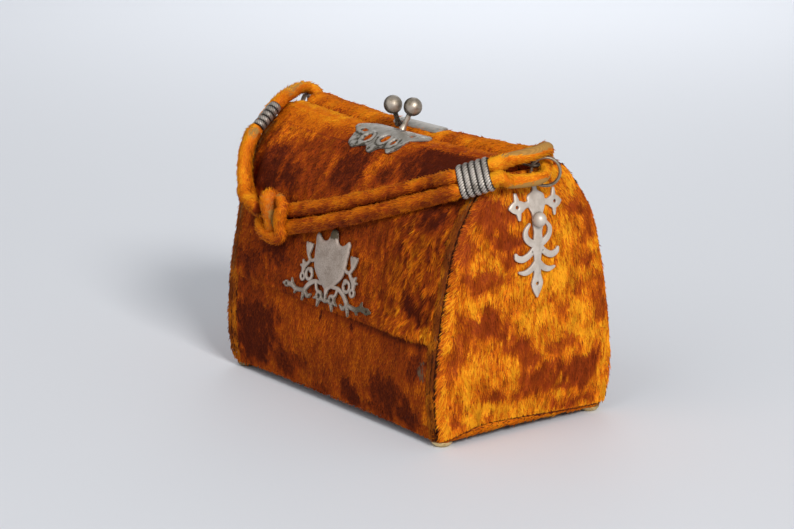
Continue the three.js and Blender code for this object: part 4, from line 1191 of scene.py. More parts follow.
for end, sx in ENDS:
    for face, sy in FACES:
        x, z, share, crown, outer = welt_face(sx, sy, WALL_BOTTOM)
        inner = wall_point(sy, x, z, -WELT_BURIED)
        welt = shell(outer, inner)
        values = clad(welt, outer, 0.3, 0.5)
        layer = crown.size
        shade = 0.16 * mottle(outer, 8, 92) + 0.10 * mottle(outer, 2.5, 95)
        # Painted shade in the groove near the gusset.
        shade = shade - 0.5 * bump(share, *WELT_GROOVE)
        values[:layer, 0] = (WELT_NAP[face, end] - 0.42 + 0.30 * crown + shade).ravel()
        values[:layer, 2] = (0.2 + 0.5 * crown).ravel()
        patchy = 0.65 + 0.6 * mottle(outer, 11, 96) + 0.3 * mottle(outer, 3, 97)
        weave = np.maximum(bump(share, 0.60, 0.09), 0.8 * bump(share, 0.95, 0.05)) * ease(z, 44, 62)
        values[:layer, 3] = (weave * np.clip(patchy, 0, 1)).ravel()
        random = np.random.default_rng(93)
        cover = welt_face(sx, sy, PILE_BOTTOM)[-1]
        place, outward, down, _, column = scatter(cover, WELT_PILE["per_area"], random)
        outward = flipped(outward, [0, sy, 0])
        fringe = np.maximum(1 - 0.75 * ease(column, 0.36, 0.52), 0.8 * ease(column, 0.66, 0.76))
        low_fringe = np.maximum(1 - bump(column, 0.47, 0.07) - bump(column, 0.80, 0.06), 0)
        keep = random.random(len(place)) < fringe + (low_fringe - fringe) * (1 - ease(place[:, 2], 40, 58))
        place, outward, down, column = only(keep, place, outward, down, column)
        nap = WELT_NAP[face, end] + 0.28 * mottle(place, 7, 94) + 0.12 * mottle(place, 2.5, 98)
        # Tufts over the groove: painted dark as its shade on the right welts, a little lighter on the left.
        nap += WELT_RIDGE * (1 - ease(column, 0.2, 0.4)) - WELT_GROOVE_SHADE[end] * bump(column, 0.88, 0.07)
        lie = unit(down + WELT_SWAY * random.normal(size=down.shape))
        fur = tufts(place, outward, lie, nap, WELT_PILE, random)
        sew(f"welt_{face}_{end}_binding", [welt, fur], binding, f"welt_{face}_{end}")


# Jaws: the two rails of the top frame, covered in plush rolled over them; the back one is the thicker
# roll, gathered in wrinkles, and both are gold along their tops.
JAW_END = 94.5
JAW_ROUND = 4.0
FRONT_JAW = [(-26, 138.4), (-20.6, 142.6), (-14.6, 145.3), (-9, 145.8), (-5.4, 144.2), (-5.2, 139)]
BACK_JAW = [(-4.6, 139), (-4.4, 145), (-1, 148), (4, 148.8), (9.8, 147.4), (17.2, 143.6), (23.2, 138.7)]
JAW_AROUND = 40
JAW_TURN_STEPS = 6
JAW_STEP = 2.4
JAW_SEEN = -0.2
JAW_FALL = 0.6
JAW_SWAY = 0.5
JAW_PILE = {"length": 2.8, "width": 0.84, "lift": 0.12, "per_area": 1.65}


def jaw_rings(section, wrinkle, seed):
    """A rail: its section, smoothed over the top and flat below, carried along the bag, sagging with the
    frame, drawn in round at its ends, and wrinkled across."""
    keys = walked(np.array(section))
    top = cubic(keys, section, np.linspace(0, keys[-1], JAW_AROUND))
    turn = np.linspace(0, np.pi / 2, JAW_TURN_STEPS)
    x = np.concatenate([
        -JAW_END + JAW_ROUND * (1 - np.cos(turn))[:-1],
        np.linspace(-JAW_END + JAW_ROUND, JAW_END - JAW_ROUND, int(2 * JAW_END / JAW_STEP)),
        JAW_END - JAW_ROUND * (1 - np.sin(turn))[1:],
    ])
    past = np.clip((np.abs(x) - JAW_END + JAW_ROUND) / JAW_ROUND, 0, 1)
    share = (0.55 + 0.45 * np.sqrt(1 - past**2))[:, None, None]
    middle = np.array([top[:, 0].mean(), section[0][1]])
    drawn = middle + (top - middle) * share
    flat = np.stack(np.broadcast_arrays(x[:, None], 0.35 * top[:, 0], 0), -1)
    crease = wrinkle * mottle(flat, 4.5, seed)
    height = drawn[..., 1] - FRAME_SAG * midspan(x)[:, None] + crease * ease(drawn[..., 1], 139.6, 143.6)
    return np.stack(np.broadcast_arrays(x[:, None], drawn[..., 0], height), -1)


def jaw_parts(rings, nap_of, seed):
    """A rail's skin and its tufts, which lie along the rail and down its sides."""
    random = np.random.default_rng(seed)
    skin = ringed(rings)
    clad(skin, rings, 0.0, 0.25)[:, 0] = nap_of(skin["points"])
    place, outward, _, _, _ = scatter(rings, JAW_PILE["per_area"], random)
    middle = np.array([0, rings[..., 1].mean(), rings[..., 2].min()])
    outward = flipped(outward, (place - middle) * [0, 1, 1])
    seen = outward[:, 2] > JAW_SEEN
    place, outward = only(seen, place, outward)
    fall = np.sign(place[:, 1] - middle[1])[:, None] * [0, 1.0, 0] + [0, 0, -JAW_FALL]
    lie = flattened(unit(fall + JAW_SWAY * random.normal(size=place.shape)), outward)
    return [skin, tufts(place, outward, lie, nap_of(place), JAW_PILE, random)]


def frame_level(place):
    """Height of a point above the base with the frame's sag taken out."""
    return place[..., 2] + FRAME_SAG * midspan(place[..., 0])


def front_jaw_nap(place):
    """Nap of the front rail: that of the flap below it, and gold along its top."""
    gold = 0.58 + 0.26 * ease(-place[..., 0], 30, 50) + 0.16 * mottle(place, 6, 101)
    edge = 141.5 + 2.4 * ease(place[..., 0], 20, 40)
    return flap_nap(place) + (gold - flap_nap(place)) * ease(frame_level(place), edge, 145.4)


def back_jaw_nap(place):
    """Nap of the back rail: gold along its top, brown below."""
    return 0.42 + 0.20 * mottle(place, 8, 102) + 0.26 * ease(frame_level(place), 144, 148)


for face, section, wrinkle, nap_of, seed in (
        ("front", FRONT_JAW, 0.25, front_jaw_nap, 103), ("back", BACK_JAW, 0.7, back_jaw_nap, 104)):
    parts = jaw_parts(jaw_rings(section, wrinkle, seed), nap_of, seed + 2)
    sew(f"{face}_jaw_plush", parts, wall_plush, f"{face}_jaw")


# Ornaments: plates of thin white metal, cast with scrolls and pierced, nailed through the plush. The
# shield on the flap and the drops on the gussets are cut from fields of strokes.
PLATE = 1.2
SHIELD_X = 3.6
FLAP_LIFT = GAP + CLOTH + 1.5
END_PLATE_LIFT = 1.0
DROP_Y = 1.0
PLATE_PITCH = 0.45
PLATE_EDGES = {(0, -1): (0, 1), (1, 0): (1, 2), (0, 1): (2, 3), (-1, 0): (3, 0)}
BACK_RELIEF = 0.4
PLATE_CREASE = 0.9
LEAST_SLOPE = 0.25
OUTLINE_STEP = 0.8
SIDE_STEP = 1.0
STROKE_STEP = 0.22
SHIELD_LOW = (-41, 53.6)
SHIELD_HIGH = (41, 98)
SHIELD_TOP = [(0, 96.2), (1.8, 95.5), (2.9, 93.8), (3.5, 91.4), (5.2, 89.5), (8.2, 89), (10.8, 90.2),
              (12.6, 91.8), (13.6, 92.2)]
SHIELD_SIDE = [(13.6, 92.2), (14.9, 90.6), (14.7, 88), (14.2, 82), (13.6, 77.5), (12.8, 74.2),
               (10.6, 71.4), (7.8, 69), (4.4, 66.6), (0, 63.6)]
SHIELD_STROKES = (
    ((5, 67, 0.7), (9.5, 67.2, 0.9), (14, 65.6, 1.1), (17.6, 62.6, 1.2), (19.6, 59.4, 1.2),
     (20.6, 55.4, 0.5)),
    ((19.6, 60.6, 0.9), (23.6, 60, 1.0), (27.4, 59.9, 1.1), (31, 61.2, 1.2), (34, 60.9, 1.2),
     (38.6, 60.7, 0.6)),
    ((30.5, 61.4, 0.9), (31.5, 64.2, 0.3)),
    ((35.5, 60.8, 1.6), (36.3, 60.8, 1.6)),
    ((26.6, 60, 0.9), (28, 57.6, 0.4)),
    ((19.9, 80.2, 1.3), (19.9, 82.8, 2.3), (19.9, 83.2, 2.4)),
    ((17.9, 83.6, 0.8), (17.3, 85.2, 0.3)),
    ((21.9, 83.6, 0.8), (22.5, 85.2, 0.3)),
    ((19.8, 79.6, 0.9), (18.4, 77.6, 0.7), (16.4, 76.8, 0.7), (13.6, 77.6, 0.8)),
    ((17.4, 77, 0.7), (19.5, 74.6, 0.8), (22, 73, 1.5), (22.6, 69.6, 0.8)),
    ((22, 73, 1.3), (23.6, 75.6, 0.4)),
    ((22, 72.6, 1.3), (25, 72.8, 0.4)),
    ((15.2, 71.8, 1.3), (15.6, 72, 1.3)),
    ((18.2, 59.6, 0.8), (15.8, 58.2, 1.0), (13.6, 59.4, 0.5)),
    ((9.6, 66.4, 0.7), (8.6, 63.6, 0.7), (6.8, 62.2, 0.8)),
    ((6, 57.8, 1.2), (6.6, 55, 0.4)),
    ((7.4, 59.6, 1.0), (10.2, 58.4, 0.3)),
    ((3.8, 59.6, 1.0), (0, 58.8, 0.8)),
    ((0, 64.4, 1.4), (0, 61.4, 0.8), (0, 58.6, 0.8)),
)
SHIELD_RINGS = ((5.6, 60.4, 2.0, 0.8), (16.8, 69.6, 2.7, 0.7), (22.2, 67.4, 1.7, 0.6))
SHIELD_HOLES = ((35.9, 60.8, 0.75),)
SCROLL_SWELL = 0.2
SPINE_STEPS = 90
LEAF_SWELL = 0.1
SPINE = [
    (131.6, 1.4), (128.4, 1.5), (127.2, 3.6), (126.2, 5.2), (123.6, 5.6), (119.8, 5.0), (117, 3.6),
    (110.6, 3.2), (107, 2.6), (103.6, 3.0), (100.6, 3.7), (97.6, 2.9), (93, 2.2), (89.5, 2.5), (85.4, 2.2),
    (80.4, 3.7), (77, 2.7), (73, 0.4),
]
END_STROKES = (
    ((3, 122.4, 1.8), (7.4, 121.8, 1.4), (12.2, 121.2, 3.2), (16.6, 121, 0.7)),
    ((11.8, 121.6, 1.9), (12.6, 127.6, 0.7)),
    ((11.8, 121, 1.9), (11.6, 115.2, 0.7)),
    ((5.6, 111.8, 0.6), (7.9, 108.4, 1.2), (7.4, 104.8, 1.5), (3.6, 101.6, 1.7), (0, 100.8, 1.6)),
    ((1.8, 99.2, 1.4), (5.2, 96, 1.5), (9.4, 94.2, 1.6), (13, 95.2, 1.4), (13.9, 97, 0.7)),
    ((1.2, 91, 1.4), (4.4, 88, 1.5), (8, 86.8, 1.2), (11.6, 87.4, 0.5)),
)
END_HOLES = ((12.4, 121.3, 0.95), (-12.4, 121.3, 0.95), (0, 80.3, 1.0), (3.4, 97.3, 0.4), (-3.4, 97.3, 0.4))


def polygon_field(outline, a, z):
    """Distance to a closed outline, negative inside: the nearest edge, signed by counting crossed edges."""
    start, end = outline, np.roll(outline, -1, axis=0)
    nearest = np.full(a.shape, np.inf)
    inside = np.zeros(a.shape, bool)
    for (ax, az), (bx, bz) in zip(start, end):
        span = np.array([bx - ax, bz - az])
        share = np.clip(((a - ax) * span[0] + (z - az) * span[1]) / (span @ span + TINY), 0, 1)
        nearest = np.minimum(nearest, np.hypot(a - ax - share * span[0], z - az - share * span[1]))
        crosses = (az > z) != (bz > z)
        level = ax + (z - az) * span[0] / np.where(span[1] == 0, TINY, span[1])
        inside ^= crosses & (a < level)
    return np.where(inside, -nearest, nearest)


def stroke_field(rows, a, z):
    """Distance to a tapering stroke, negative inside: its smooth middle line cut into dots of its half
    width."""
    nearest = np.full(a.shape, np.inf)
    for x, height, half in through(rows, STROKE_STEP):
        nearest = np.minimum(nearest, np.hypot(a - x, z - height) - half)
    return nearest


def ring_field(x, height, radius, half, a, z):
    """Distance to a flat ring, negative inside."""
    return np.abs(np.hypot(a - x, z - height) - radius) - half


def drilled(metal_field, holes, a, z):
    """A field less its round holes."""
    for x, height, radius in holes:
        metal_field = np.maximum(metal_field, radius - np.hypot(a - x, z - height))
    return metal_field


def mirrored_field(strokes, rings, a, z):
    """Union of the strokes and rings of one half and their mirror images."""
    nearest = np.full(a.shape, np.inf)
    for rows in strokes:
        nearest = np.minimum(nearest, stroke_field(rows, np.abs(a), z))
    for ring in rings:
        nearest = np.minimum(nearest, ring_field(*ring, np.abs(a), z))
    return nearest


def pierced(low, high, field, lift, lay):
    """Plate cut out of a field that is negative on the metal. Square cells whose middle is on the metal are
    kept, and the outline's points are drawn onto the field's zero line. lift gives the front's height and
    relief; lay places a point of the plate. Front, back and edges make one closed body."""
    counts = np.round((np.array(high) - low) / PLATE_PITCH).astype(int)
    a, z = np.meshgrid(*(np.linspace(l, h, n + 1) for l, h, n in zip(low, high, counts)), indexing="ij")
    value = field(a, z)
    middle = (value[:-1, :-1] + value[1:, :-1] + value[:-1, 1:] + value[1:, 1:]) / 4
    keep = np.pad(middle < 0, 1)
    around = keep[:-1, :-1].astype(int) + keep[1:, :-1] + keep[:-1, 1:] + keep[1:, 1:]
    slope_a, slope_z = np.gradient(value, PLATE_PITCH)
    steep = np.maximum(slope_a**2 + slope_z**2, LEAST_SLOPE)
    edge = (around > 0) & (around < 4)
    pull = np.where(edge, np.clip(-value, -PLATE_PITCH, PLATE_PITCH) / steep, 0)
    a, z = a + pull * slope_a, z + pull * slope_z
    used = around > 0
    number = np.full(a.shape, -1)
    number[used] = np.arange(used.sum())
    kept = keep[1:-1, 1:-1]
    corners = np.stack([number[:-1, :-1], number[1:, :-1], number[1:, 1:], number[:-1, 1:]], -1)
    cells = corners[kept]
    layer = int(used.sum())
    sides = []
    for way, (first, second) in PLATE_EDGES.items():
        beside = keep[1 + way[0]:keep.shape[0] - 1 + way[0], 1 + way[1]:keep.shape[1] - 1 + way[1]]
        start, end = corners[kept & ~beside][:, [first, second]].T
        sides.append(np.stack([start, start + layer, end + layer, end], -1))
    height, relief = lift(a, z, np.minimum(np.where(edge, 0, value), 0))
    front = lay(a[used], z[used], height[used])
    back = lay(a[used], z[used], 0 * a[used])
    values = relief_values(np.concatenate([relief[used], np.full(layer, BACK_RELIEF)]))
    faces = [cells, cells[:, ::-1] + layer, np.concatenate(sides)]
    return {"points": np.concatenate([front, back]), "faces": faces, "values": values}


shield_half = np.concatenate([through(SHIELD_TOP, OUTLINE_STEP)[:-1], through(SHIELD_SIDE, SIDE_STEP)])
shield_outline = np.concatenate([shield_half, shield_half[-2:0:-1] * [-1, 1]])


def shield_field(a, z):
    """The shield, its scrolls and rings, less the nail holes."""
    scrolls = mirrored_field(SHIELD_STROKES, SHIELD_RINGS, a, z) - SCROLL_SWELL
    return drilled(np.minimum(polygon_field(shield_outline, a, z), scrolls), SHIELD_HOLES, np.abs(a), z)


def shield_lift(a, z, depth):
    """Scrolls are rounded over and darker below and to the right; the shield is a shallow boss with a line
    engraved along its border and a dark point at its top."""
    inside = -polygon_field(shield_outline, a, z)
    rounded = 0.55 * PLATE + 0.45 * PLATE * ease(-depth, 0, 0.9)
    boss = 0.30 * ease(inside, 0.2, 1.6) + 0.35 * ease(inside, 1, 9)
    line = bump(inside, 1.5, 0.32) * (inside > 0)
    darker_low_right = (1 - 0.55 * ease(66 - z, 0, 6)) * (1 - 0.75 * ease(a, 22, 31))
    scroll = (0.25 + 0.5 * ease(-depth, 0, 0.6)) * darker_low_right
    point = ease(z, 90.5, 93.5) * (1 - ease(np.abs(a), 3, 5))
    body = 0.75 - 0.32 * ease(inside, 0.9, 1.5) - 1.1 * point
    relief = np.where(inside > 0, body, scroll)
    return rounded + boss * (inside > 0) - 0.3 * line, relief


shield_metal = metal("shield metal", linear(178, 162, 150), linear(158, 142, 130), linear(80, 69, 50), 0.35)
shield = pierced(SHIELD_LOW, SHIELD_HIGH, shield_field, shield_lift,
                 lambda a, z, out: wall_point(-1, SHIELD_X + a, z, FLAP_LIFT + out))
sew("shield_plate_metal", [shield], shield_metal, "shield_plate", crease=PLATE_CREASE)

spine_rows = np.array(SPINE)
spine_level = np.linspace(spine_rows[0, 0], spine_rows[-1, 0], SPINE_STEPS)
spine_half = cubic(-spine_rows[:, 0], spine_rows[:, 1], -spine_level)[:, 0]
spine_outline = np.concatenate([np.stack([spine_half, spine_level], -1),
                                np.stack([-spine_half, spine_level], -1)[::-1]])


def drop_field(a, z):
    """The drop ornament of the gussets: its spine and strokes, less the nail holes."""
    leaves = mirrored_field(END_STROKES, (), a, z) - LEAF_SWELL
    return drilled(np.minimum(polygon_field(spine_outline, a, z), leaves), END_HOLES, a, z)


def drop_lift(a, z, depth):
    """Edges rounded over, with a raised rib down the lower spine."""
    rounded = 0.72 * PLATE + 0.28 * PLATE * ease(-depth, 0, 0.8)
    rib = 0.18 * bump(a, 0, 0.7) * (z < 104)
    return rounded + rib, 0.42 + 0.58 * ease(-depth, 0, 0.5)


silver = metal("white metal", linear(206, 195, 184), linear(184, 172, 160), linear(92, 76, 60), 0.35)


# Knobs: half-round buttons of the same metal, one on each drop, cast with a small flange. The drops and
# their knobs are set on the gussets together.
KNOB = {"y": 0.5, "z": 114.0, "radius": 3.8, "reach": 4.6, "flange": 1.05, "step": 0.5}
KNOB_STEPS = 20
KNOB_POLE = 0.001
DROP_LOW = (-17.6, 72)
DROP_HIGH = (17.6, 132.4)
knob_turn = np.linspace(np.arccos((KNOB["radius"] - KNOB["reach"]) / KNOB["radius"]), 0, KNOB_STEPS)
knob_dome = np.stack([KNOB["radius"] * np.sin(knob_turn) + KNOB_POLE,
                      KNOB["reach"] - KNOB["radius"] * (1 - np.cos(knob_turn))], -1)
knob_edge = KNOB["radius"] * KNOB["flange"]
knob_profile = np.concatenate([[(AXIS, 0), (knob_edge, 0), (knob_edge, KNOB["step"])], knob_dome[1:]])
for end, sign in ENDS:
    drop = pierced(DROP_LOW, DROP_HIGH, drop_field, drop_lift,
                   lambda a, z, out: end_point(sign, (a + DROP_Y) / end_half(z), z, END_PLATE_LIFT + out))
    sew(f"end_plate_{end}_metal", [drop], silver, f"end_plate_{end}", crease=PLATE_CREASE)
    seat = end_point(sign, KNOB["y"] / end_half(KNOB["z"]), np.array(KNOB["z"]), END_PLATE_LIFT + PLATE + GAP)
    rings = turned_piece(knob_profile)
    knob = ringed(np.stack([sign * rings[..., 2], rings[..., 0], rings[..., 1]], -1) + seat)
    knob["values"] = relief_values(0.3 + 0.7 * ease(np.abs(knob["points"][:, 0] - seat[0]), 0.4, 2))
    sew(f"end_knob_{end}_metal", [knob], silver, f"end_knob_{end}", crease=PLATE_CREASE)


# Clasp plates: sheet metal bent over the jaws. The front one is smooth above and ends in pierced
# scrolls; the back one is a plain strip.
FRONT_CLASP_PATH = [(-6, 145.9), (-9.5, 146.4), (-13.4, 146.1), (-18.2, 144), (-23.2, 141.3), (-26.9, 139.5),
                    (-29.6, 136.9), (-32.4, 133.6)]
BACK_CLASP_PATH = [(-3.2, 147), (0, 148.6), (4, 149.3), (9.8, 147.9), (16.2, 144.6)]
CLASP_OUTLINE = [
    (24, 0.3), (27, 2.6), (29, 5.4), (26.6, 7.6), (22.6, 9.4), (19, 11.2), (17.6, 14), (17, 17.6),
    (15.4, 21), (13, 23.2), (11.2, 22.6), (9, 21), (6, 20.4), (3.2, 21.4), (1.6, 23.8), (-0.9, 25.2),
    (-3.5, 25), (-5.2, 23), (-6.8, 21.4), (-9.6, 22), (-13, 23.4), (-16, 25), (-19.4, 24.2), (-22.4, 21.4),
    (-24.4, 17), (-26, 13.6), (-29.2, 11.2), (-29.6, 8.4), (-25.4, 6), (-21.4, 3), (-19.4, 0.3),
]
CLASP_HOLES = (
    (-20, 11.4, 2.6, 1.3), (-12, 16.2, 2.5, 3.1), (1, 13.6, 2.7, 3.2), (15.6, 6.6, 2.2, 1.4),
    (9.6, 15, 1.5, 2.0))
CLASP_NAILS = ((-2.5, 23.2, 0.75), (-27.2, 9.6, 0.8), (26, 5.2, 0.6))
CLASP_LOW = (-30.4, 0.1)
CLASP_HIGH = (30, 26.1)
STRIP_LOW = (-31.6, 0.1)
STRIP_HIGH = (31.6, 20.4)
BEND_STEP = 0.3
STRIP = {"x": 3.0, "z": 6.0, "half_x": 17.0, "half_z": 0.9, "round": 3.4}
clasp_outline = through(CLASP_OUTLINE, OUTLINE_STEP)


def pierce_distance(a, z):
    """Distance outside the nearest oval piercing, negative within it."""
    nearest = np.full(a.shape, np.inf)
    for x, down, half_x, half_z in CLASP_HOLES:
        outside = np.hypot((a - x) / half_x, (z - down) / half_z) - 1
        nearest = np.minimum(nearest, outside * min(half_x, half_z))
    return nearest


def clasp_field(a, z):
    """The front plate seen flat: a band with three lobes below it, oval piercings and nail holes."""
    band = np.maximum(polygon_field(clasp_outline, a, z), -pierce_distance(a, z))
    return drilled(band, CLASP_NAILS, a, z)


def clasp_lift(a, z, depth):
    """Smooth above; below, a rounded rim and a groove round each piercing, with rough ground between. The
    relief is lighter on the smooth upper part, partly its cleaner finish and partly a painted reflection of
    the pale surround.
    """
    low = ease(z, 9, 12.5)
    ground = np.stack([a, z, 0 * a], -1)
    away = pierce_distance(a, z)
    rim = bump(away, 1.3, 0.6) * low
    groove = bump(away, 2.7, 0.55) * low
    rough = 0.16 * mottle(ground, 0.9, 121) * low
    height = 0.6 * PLATE + 0.4 * PLATE * ease(-depth, 0, 0.8) + 0.5 * rim - 0.25 * groove + rough
    # Lighter above: partly the smooth finish, partly a painted reflection of the pale surround.
    worn = 1 - 0.55 * low + 0.35 * rim - 0.4 * groove + 0.3 * low * mottle(ground, 1.6, 122)
    return height, worn - 0.3 * (1 - ease(-depth, 0, 0.5))


def on_path(path):
    """Lays a flat plate over a bent path: z walks along the path, and out leaves it square."""
    rows = np.array(path, float)
    keys = walked(rows)
    side = np.sign(rows[0, 0] - rows[-1, 0])

    def lay(a, z, out):
        point = cubic(keys, rows, z)
        tangent = unit(cubic(keys, rows, z + BEND_STEP) - cubic(keys, rows, z - BEND_STEP) + TINY)
        height = point[:, 1] - side * out * tangent[:, 0] - FRAME_SAG * midspan(a)
        return np.stack([a, point[:, 0] + side * out * tangent[:, 1], height], -1)
    return lay


pewter = metal("pewter", linear(182, 176, 168), linear(156, 150, 140), linear(80, 74, 62), 0.6)
clasp_front = pierced(CLASP_LOW, CLASP_HIGH, clasp_field, clasp_lift, on_path(FRONT_CLASP_PATH))
sew("clasp_plate_front_metal", [clasp_front], pewter, "clasp_plate_front", crease=PLATE_CREASE)


def strip_field(a, z):
    """The back plate seen flat: a strip with rounded corners."""
    inset = np.stack([np.abs(a - STRIP["x"]) - STRIP["half_x"], np.abs(z - STRIP["z"]) - STRIP["half_z"]], -1)
    return np.linalg.norm(np.maximum(inset, 0), axis=-1) + np.minimum(inset.max(-1), 0) - STRIP["round"]


def strip_lift(a, z, depth):
    """A flat strip with rounded edges."""
    return 0.6 * PLATE + 0.4 * PLATE * ease(-depth, 0, 0.8), 0.4 + 0.6 * ease(-depth, 0, 0.5)


clasp_back = pierced(STRIP_LOW, STRIP_HIGH, strip_field, strip_lift, on_path(BACK_CLASP_PATH))
sew("clasp_plate_back_metal", [clasp_back], pewter, "clasp_plate_back", crease=PLATE_CREASE)


# Clasp studs: dark steel balls on leaning stems, soldered to the plates, that snap past each other. Each
# ball has a painted highlight towards the right front and painted shade away from it, and the back stem
# is dark.
BALL_RADIUS = 5.0
BALL_STEPS = 30
BALL_POLE = 0.002
STEM_RADIUS = 1.4
STEM_RELIEF = {"front": 1.0, "back": 0.22}
BALL_SHADED = 0.22
BALL_LIT_WAY = unit(np.array([0.88, -0.28, 0.36]))
STUDS = {"front": {"foot": (2.4, -9.3, 145.2), "ball": (5, -4.3, 157.1)},
         "back": {"foot": (-9, -3.3, 145.65), "ball": (-5, -10, 157.5)}}
steel = metal("ball steel", linear(190, 178, 164), linear(124, 111, 92), linear(40, 33, 27), 0.9)
for name, rows in STUDS.items():
    foot, ball = np.array(rows["foot"]), np.array(rows["ball"])
    height = np.linalg.norm(ball - foot)
    sweep = np.linspace(np.pi - np.arcsin(STEM_RADIUS / BALL_RADIUS), BALL_POLE, BALL_STEPS)
    stem = [(AXIS, 0), (STEM_RADIUS * 1.5, 0), (STEM_RADIUS * 1.2, 1.2), (STEM_RADIUS, 2.6),
            (STEM_RADIUS * 0.92, 0.4 * height)]
    profile = np.concatenate([
        stem, np.stack([BALL_RADIUS * np.sin(sweep), height + BALL_RADIUS * np.cos(sweep)], -1)])
    axis = unit(ball - foot)
    across = unit(np.cross(axis, [0, 1.0, 0]))
    rings = turned_piece(profile)
    stud = ringed(foot + rings @ np.array([across, np.cross(axis, across), axis]))
    from_ball = stud["points"] - ball
    on_ball = ease(np.linalg.norm(from_ball, axis=1), BALL_RADIUS + 0.6, BALL_RADIUS + 0.1)
    # Painted highlight and shade: each ball is light on its side towards the right front and dark away from
    # it.
    rubbed = BALL_SHADED + (1 - BALL_SHADED) * ease(unit(from_ball) @ BALL_LIT_WAY, 0.25, 1.0)
    stud["values"] = relief_values(STEM_RELIEF[name] + (rubbed - STEM_RELIEF[name]) * on_ball)
    sew(f"clasp_stud_{name}_steel", [stud], steel, f"clasp_stud_{name}", crease=PLATE_CREASE)


# Rings and lugs: a split ring of two turns of wire at each end, hung in a wire lug that comes out of
# the back rail.
RING = {"x": 105.0, "y": 3.5, "z": 138.7, "radius": 7.3, "wire": 0.78, "apart": 0.55, "turn": 37.0}
LUG = {"x": 100.5, "y": -0.5, "z": 141.9, "half": 2.9, "wire": 0.7}
LUG_FOOT = JAW_END + GAP - LUG["x"]
LUG_ROUTE = [(LUG_FOOT, 1), (-1, 1), (1.6, 0.72), (2.5, 0), (1.6, -0.72), (-1, -1), (LUG_FOOT, -1)]
ring_metal = metal("ring wire", linear(150, 138, 122), linear(114, 102, 88), linear(38, 31, 26))
RING_STEPS = 90
RING_SIDES = 20
LUG_SIDES = 14
LUG_STEP = 0.5
LUG_RELIEF = 0.25
ring_angle = np.linspace(0, 2 * np.pi, RING_STEPS, endpoint=False)[:, None]
wire_angle = np.linspace(0, 2 * np.pi, RING_SIDES, endpoint=False)[None]
for end, sign in ENDS:
    lean = np.radians(RING["turn"])
    plane_a = np.array([sign * np.sin(lean), np.cos(lean), 0])
    square = np.cross(plane_a, UPRIGHT)
    double = RING["apart"] * np.sign(np.cos(wire_angle)) * np.abs(np.cos(wire_angle)) ** 0.4
    radial = np.cos(ring_angle)[..., None] * plane_a + np.sin(ring_angle)[..., None] * UPRIGHT
    section_out = RING["wire"] * np.sin(wire_angle)
    section_side = RING["wire"] * np.cos(wire_angle) + double
    centre = np.array([sign * RING["x"], RING["y"], RING["z"]])
    reach = radial * (RING["radius"] + section_out)[..., None]
    ring = hooped(centre + reach + square * section_side[..., None])
    ring["values"] = relief_values(0.35 + 0.65 * ease(np.abs(section_side), 0.1, 0.6) + 0 * ring_angle)
    sew(f"ring_{end}_wire", [ring], ring_metal, f"ring_{end}")
    route = [(sign * (LUG["x"] + out), LUG["y"] + share * LUG["half"], LUG["z"]) for out, share in LUG_ROUTE]
    lug_line = through(route, LUG_STEP)
    lug_rings, _ = tube(lug_line, np.full((len(lug_line), LUG_SIDES), LUG["wire"]), LUG_SIDES, UPRIGHT)
    lug = ringed(lug_rings)
    lug["values"] = relief_values(np.full(len(lug["points"]), LUG_RELIEF))
    sew(f"ring_lug_{end}_wire", [lug], ring_metal, f"ring_lug_{end}")


# Ferrules: cast sleeves gripping the doubled cord, with five ribs twisted like rope and dark grooves
# between them. The left one is flatter.
FERRULE_WALL = 0.7
FERRULE_RIB = 0.75
FERRULE_RIBS = 5
FERRULE_FLAT = {"right": 0.86, "left": 0.68}
FERRULE_SQUARE = 6
FERRULE_FINE = 20
FERRULE_ROWS = 50
FERRULE_AROUND = 180
ROPE_TWISTS = 30
ROPE_DEPTH = 0.10
ROPE_SLANT = 1.4
ferrule_metal = metal("ferrule metal", linear(186, 177, 168), linear(136, 126, 116), linear(38, 31, 26), 0.6)
for side in ("right", "left"):
    centre, axis, wide, deep = ferrule_frame(side)
    bore = CORD / 2 + GAP
    fine = np.linspace(0, 2 * np.pi, FERRULE_FINE * FERRULE_AROUND)
    fine_spread = STRAND_APART * np.tanh(FERRULE_SQUARE * np.cos(fine))
    section = np.stack([fine_spread + bore * np.cos(fine), bore * np.sin(fine)], -1)
    round_share = np.linspace(0, 1, FERRULE_AROUND, endpoint=False)[None]
    angle = np.interp(round_share * walked(section)[-1], walked(section), fine)
    spread = STRAND_APART * np.tanh(FERRULE_SQUARE * np.cos(angle))
    share = np.concatenate([np.linspace(0, 1, FERRULE_ROWS), [1, 0]])[:, None]
    outside = (np.arange(FERRULE_ROWS + 2) < FERRULE_ROWS)[:, None]
    rib = outside * np.abs(np.sin(np.pi * FERRULE_RIBS * share)) ** 0.8
    twist = ROPE_TWISTS * round_share + ROPE_SLANT * FERRULE_RIBS * share
    rope = ROPE_DEPTH * rib * np.sin(2 * np.pi * twist)
    reach = bore + FERRULE_WALL * outside + FERRULE_RIB * rib + rope
    profile = (
        centre
        + (FERRULE_LENGTH * (share - 0.5) + 0 * angle)[..., None] * axis
        + (spread + reach * np.cos(angle))[..., None] * wide
        + (FERRULE_FLAT[side] * reach * np.sin(angle))[..., None] * deep
    )
    ferrule = hooped(profile)
    ferrule["values"] = relief_values(0.95 * rib - 0.25 + 5.0 * rope)
    sew(f"ferrule_{side}_metal", [ferrule], ferrule_metal, f"ferrule_{side}")


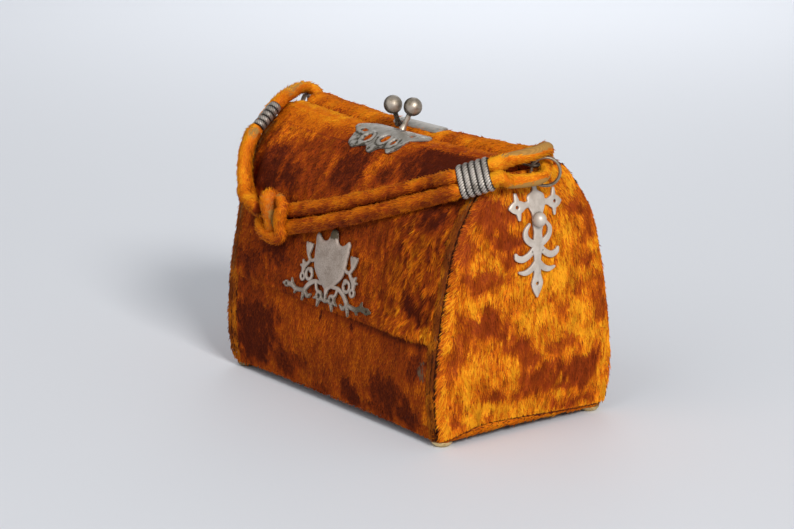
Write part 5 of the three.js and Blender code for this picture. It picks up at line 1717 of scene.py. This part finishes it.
# Floor and light: a plain pale floor and an even pale surround, with a soft lamp to the right, a large one
# in front and a small one over the floor far to the left. These sizes are in metres.
FLOOR_SIZE = 6.0
FLOOR_TONE = (0.73, 0.75, 0.795, 1)
FLOOR_ROUGH = 0.7
SURROUND_TONE = (0.94, 0.97, 1.0, 1)
SURROUND_LIGHT = 0.40
floor_mesh = bpy.data.meshes.new("floor")
floor_corners = [(sx * FLOOR_SIZE, sy * FLOOR_SIZE, 0) for sx, sy in ((-1, -1), (1, -1), (1, 1), (-1, 1))]
floor_mesh.from_pydata(floor_corners, [], [(0, 1, 2, 3)])
floor = bpy.data.objects.new("floor", floor_mesh)
bpy.context.scene.collection.objects.link(floor)
floor_paint = bpy.data.materials.new("floor paint")
floor_paint.use_nodes = True
floor_shader = floor_paint.node_tree.nodes["Principled BSDF"]
floor_shader.inputs["Base Color"].default_value = FLOOR_TONE
floor_shader.inputs["Roughness"].default_value = FLOOR_ROUGH
floor_mesh.materials.append(floor_paint)

LAMPS = (
    {"name": "key", "at": (5.0, -1.25, 3.5), "to": (0, 0, 0.07), "size": 1.6, "power": 275.0,
     "tint": (1.0, 0.98, 0.955)},
    {"name": "fill", "at": (0.6, -5.2, 4.4), "to": (0, 0, 0.07), "size": 5.0, "power": 100.0,
     "tint": (1.0, 0.98, 0.96)},
    {"name": "far", "at": (-1.12, 1.0, 0.7), "to": (-1.12, 0.95, 0), "size": 0.8, "power": 4.0,
     "tint": (0.95, 0.97, 1.0)},
)
for lamp in LAMPS:
    light = bpy.data.lights.new(lamp["name"], "AREA")
    light.energy = lamp["power"]
    light.size = lamp["size"]
    light.color = lamp["tint"]
    holder = bpy.data.objects.new(lamp["name"], light)
    way = np.array(lamp["at"]) - lamp["to"]
    holder.location = lamp["at"]
    holder.rotation_euler = (np.arctan2(np.hypot(way[0], way[1]), way[2]), 0, np.arctan2(way[0], -way[1]))
    bpy.context.scene.collection.objects.link(holder)
world = bpy.data.worlds.new("surround")
world.use_nodes = True
world.node_tree.nodes["Background"].inputs["Color"].default_value = SURROUND_TONE
world.node_tree.nodes["Background"].inputs["Strength"].default_value = SURROUND_LIGHT
bpy.context.scene.world = world
bpy.context.scene.view_settings.view_transform = "Standard"
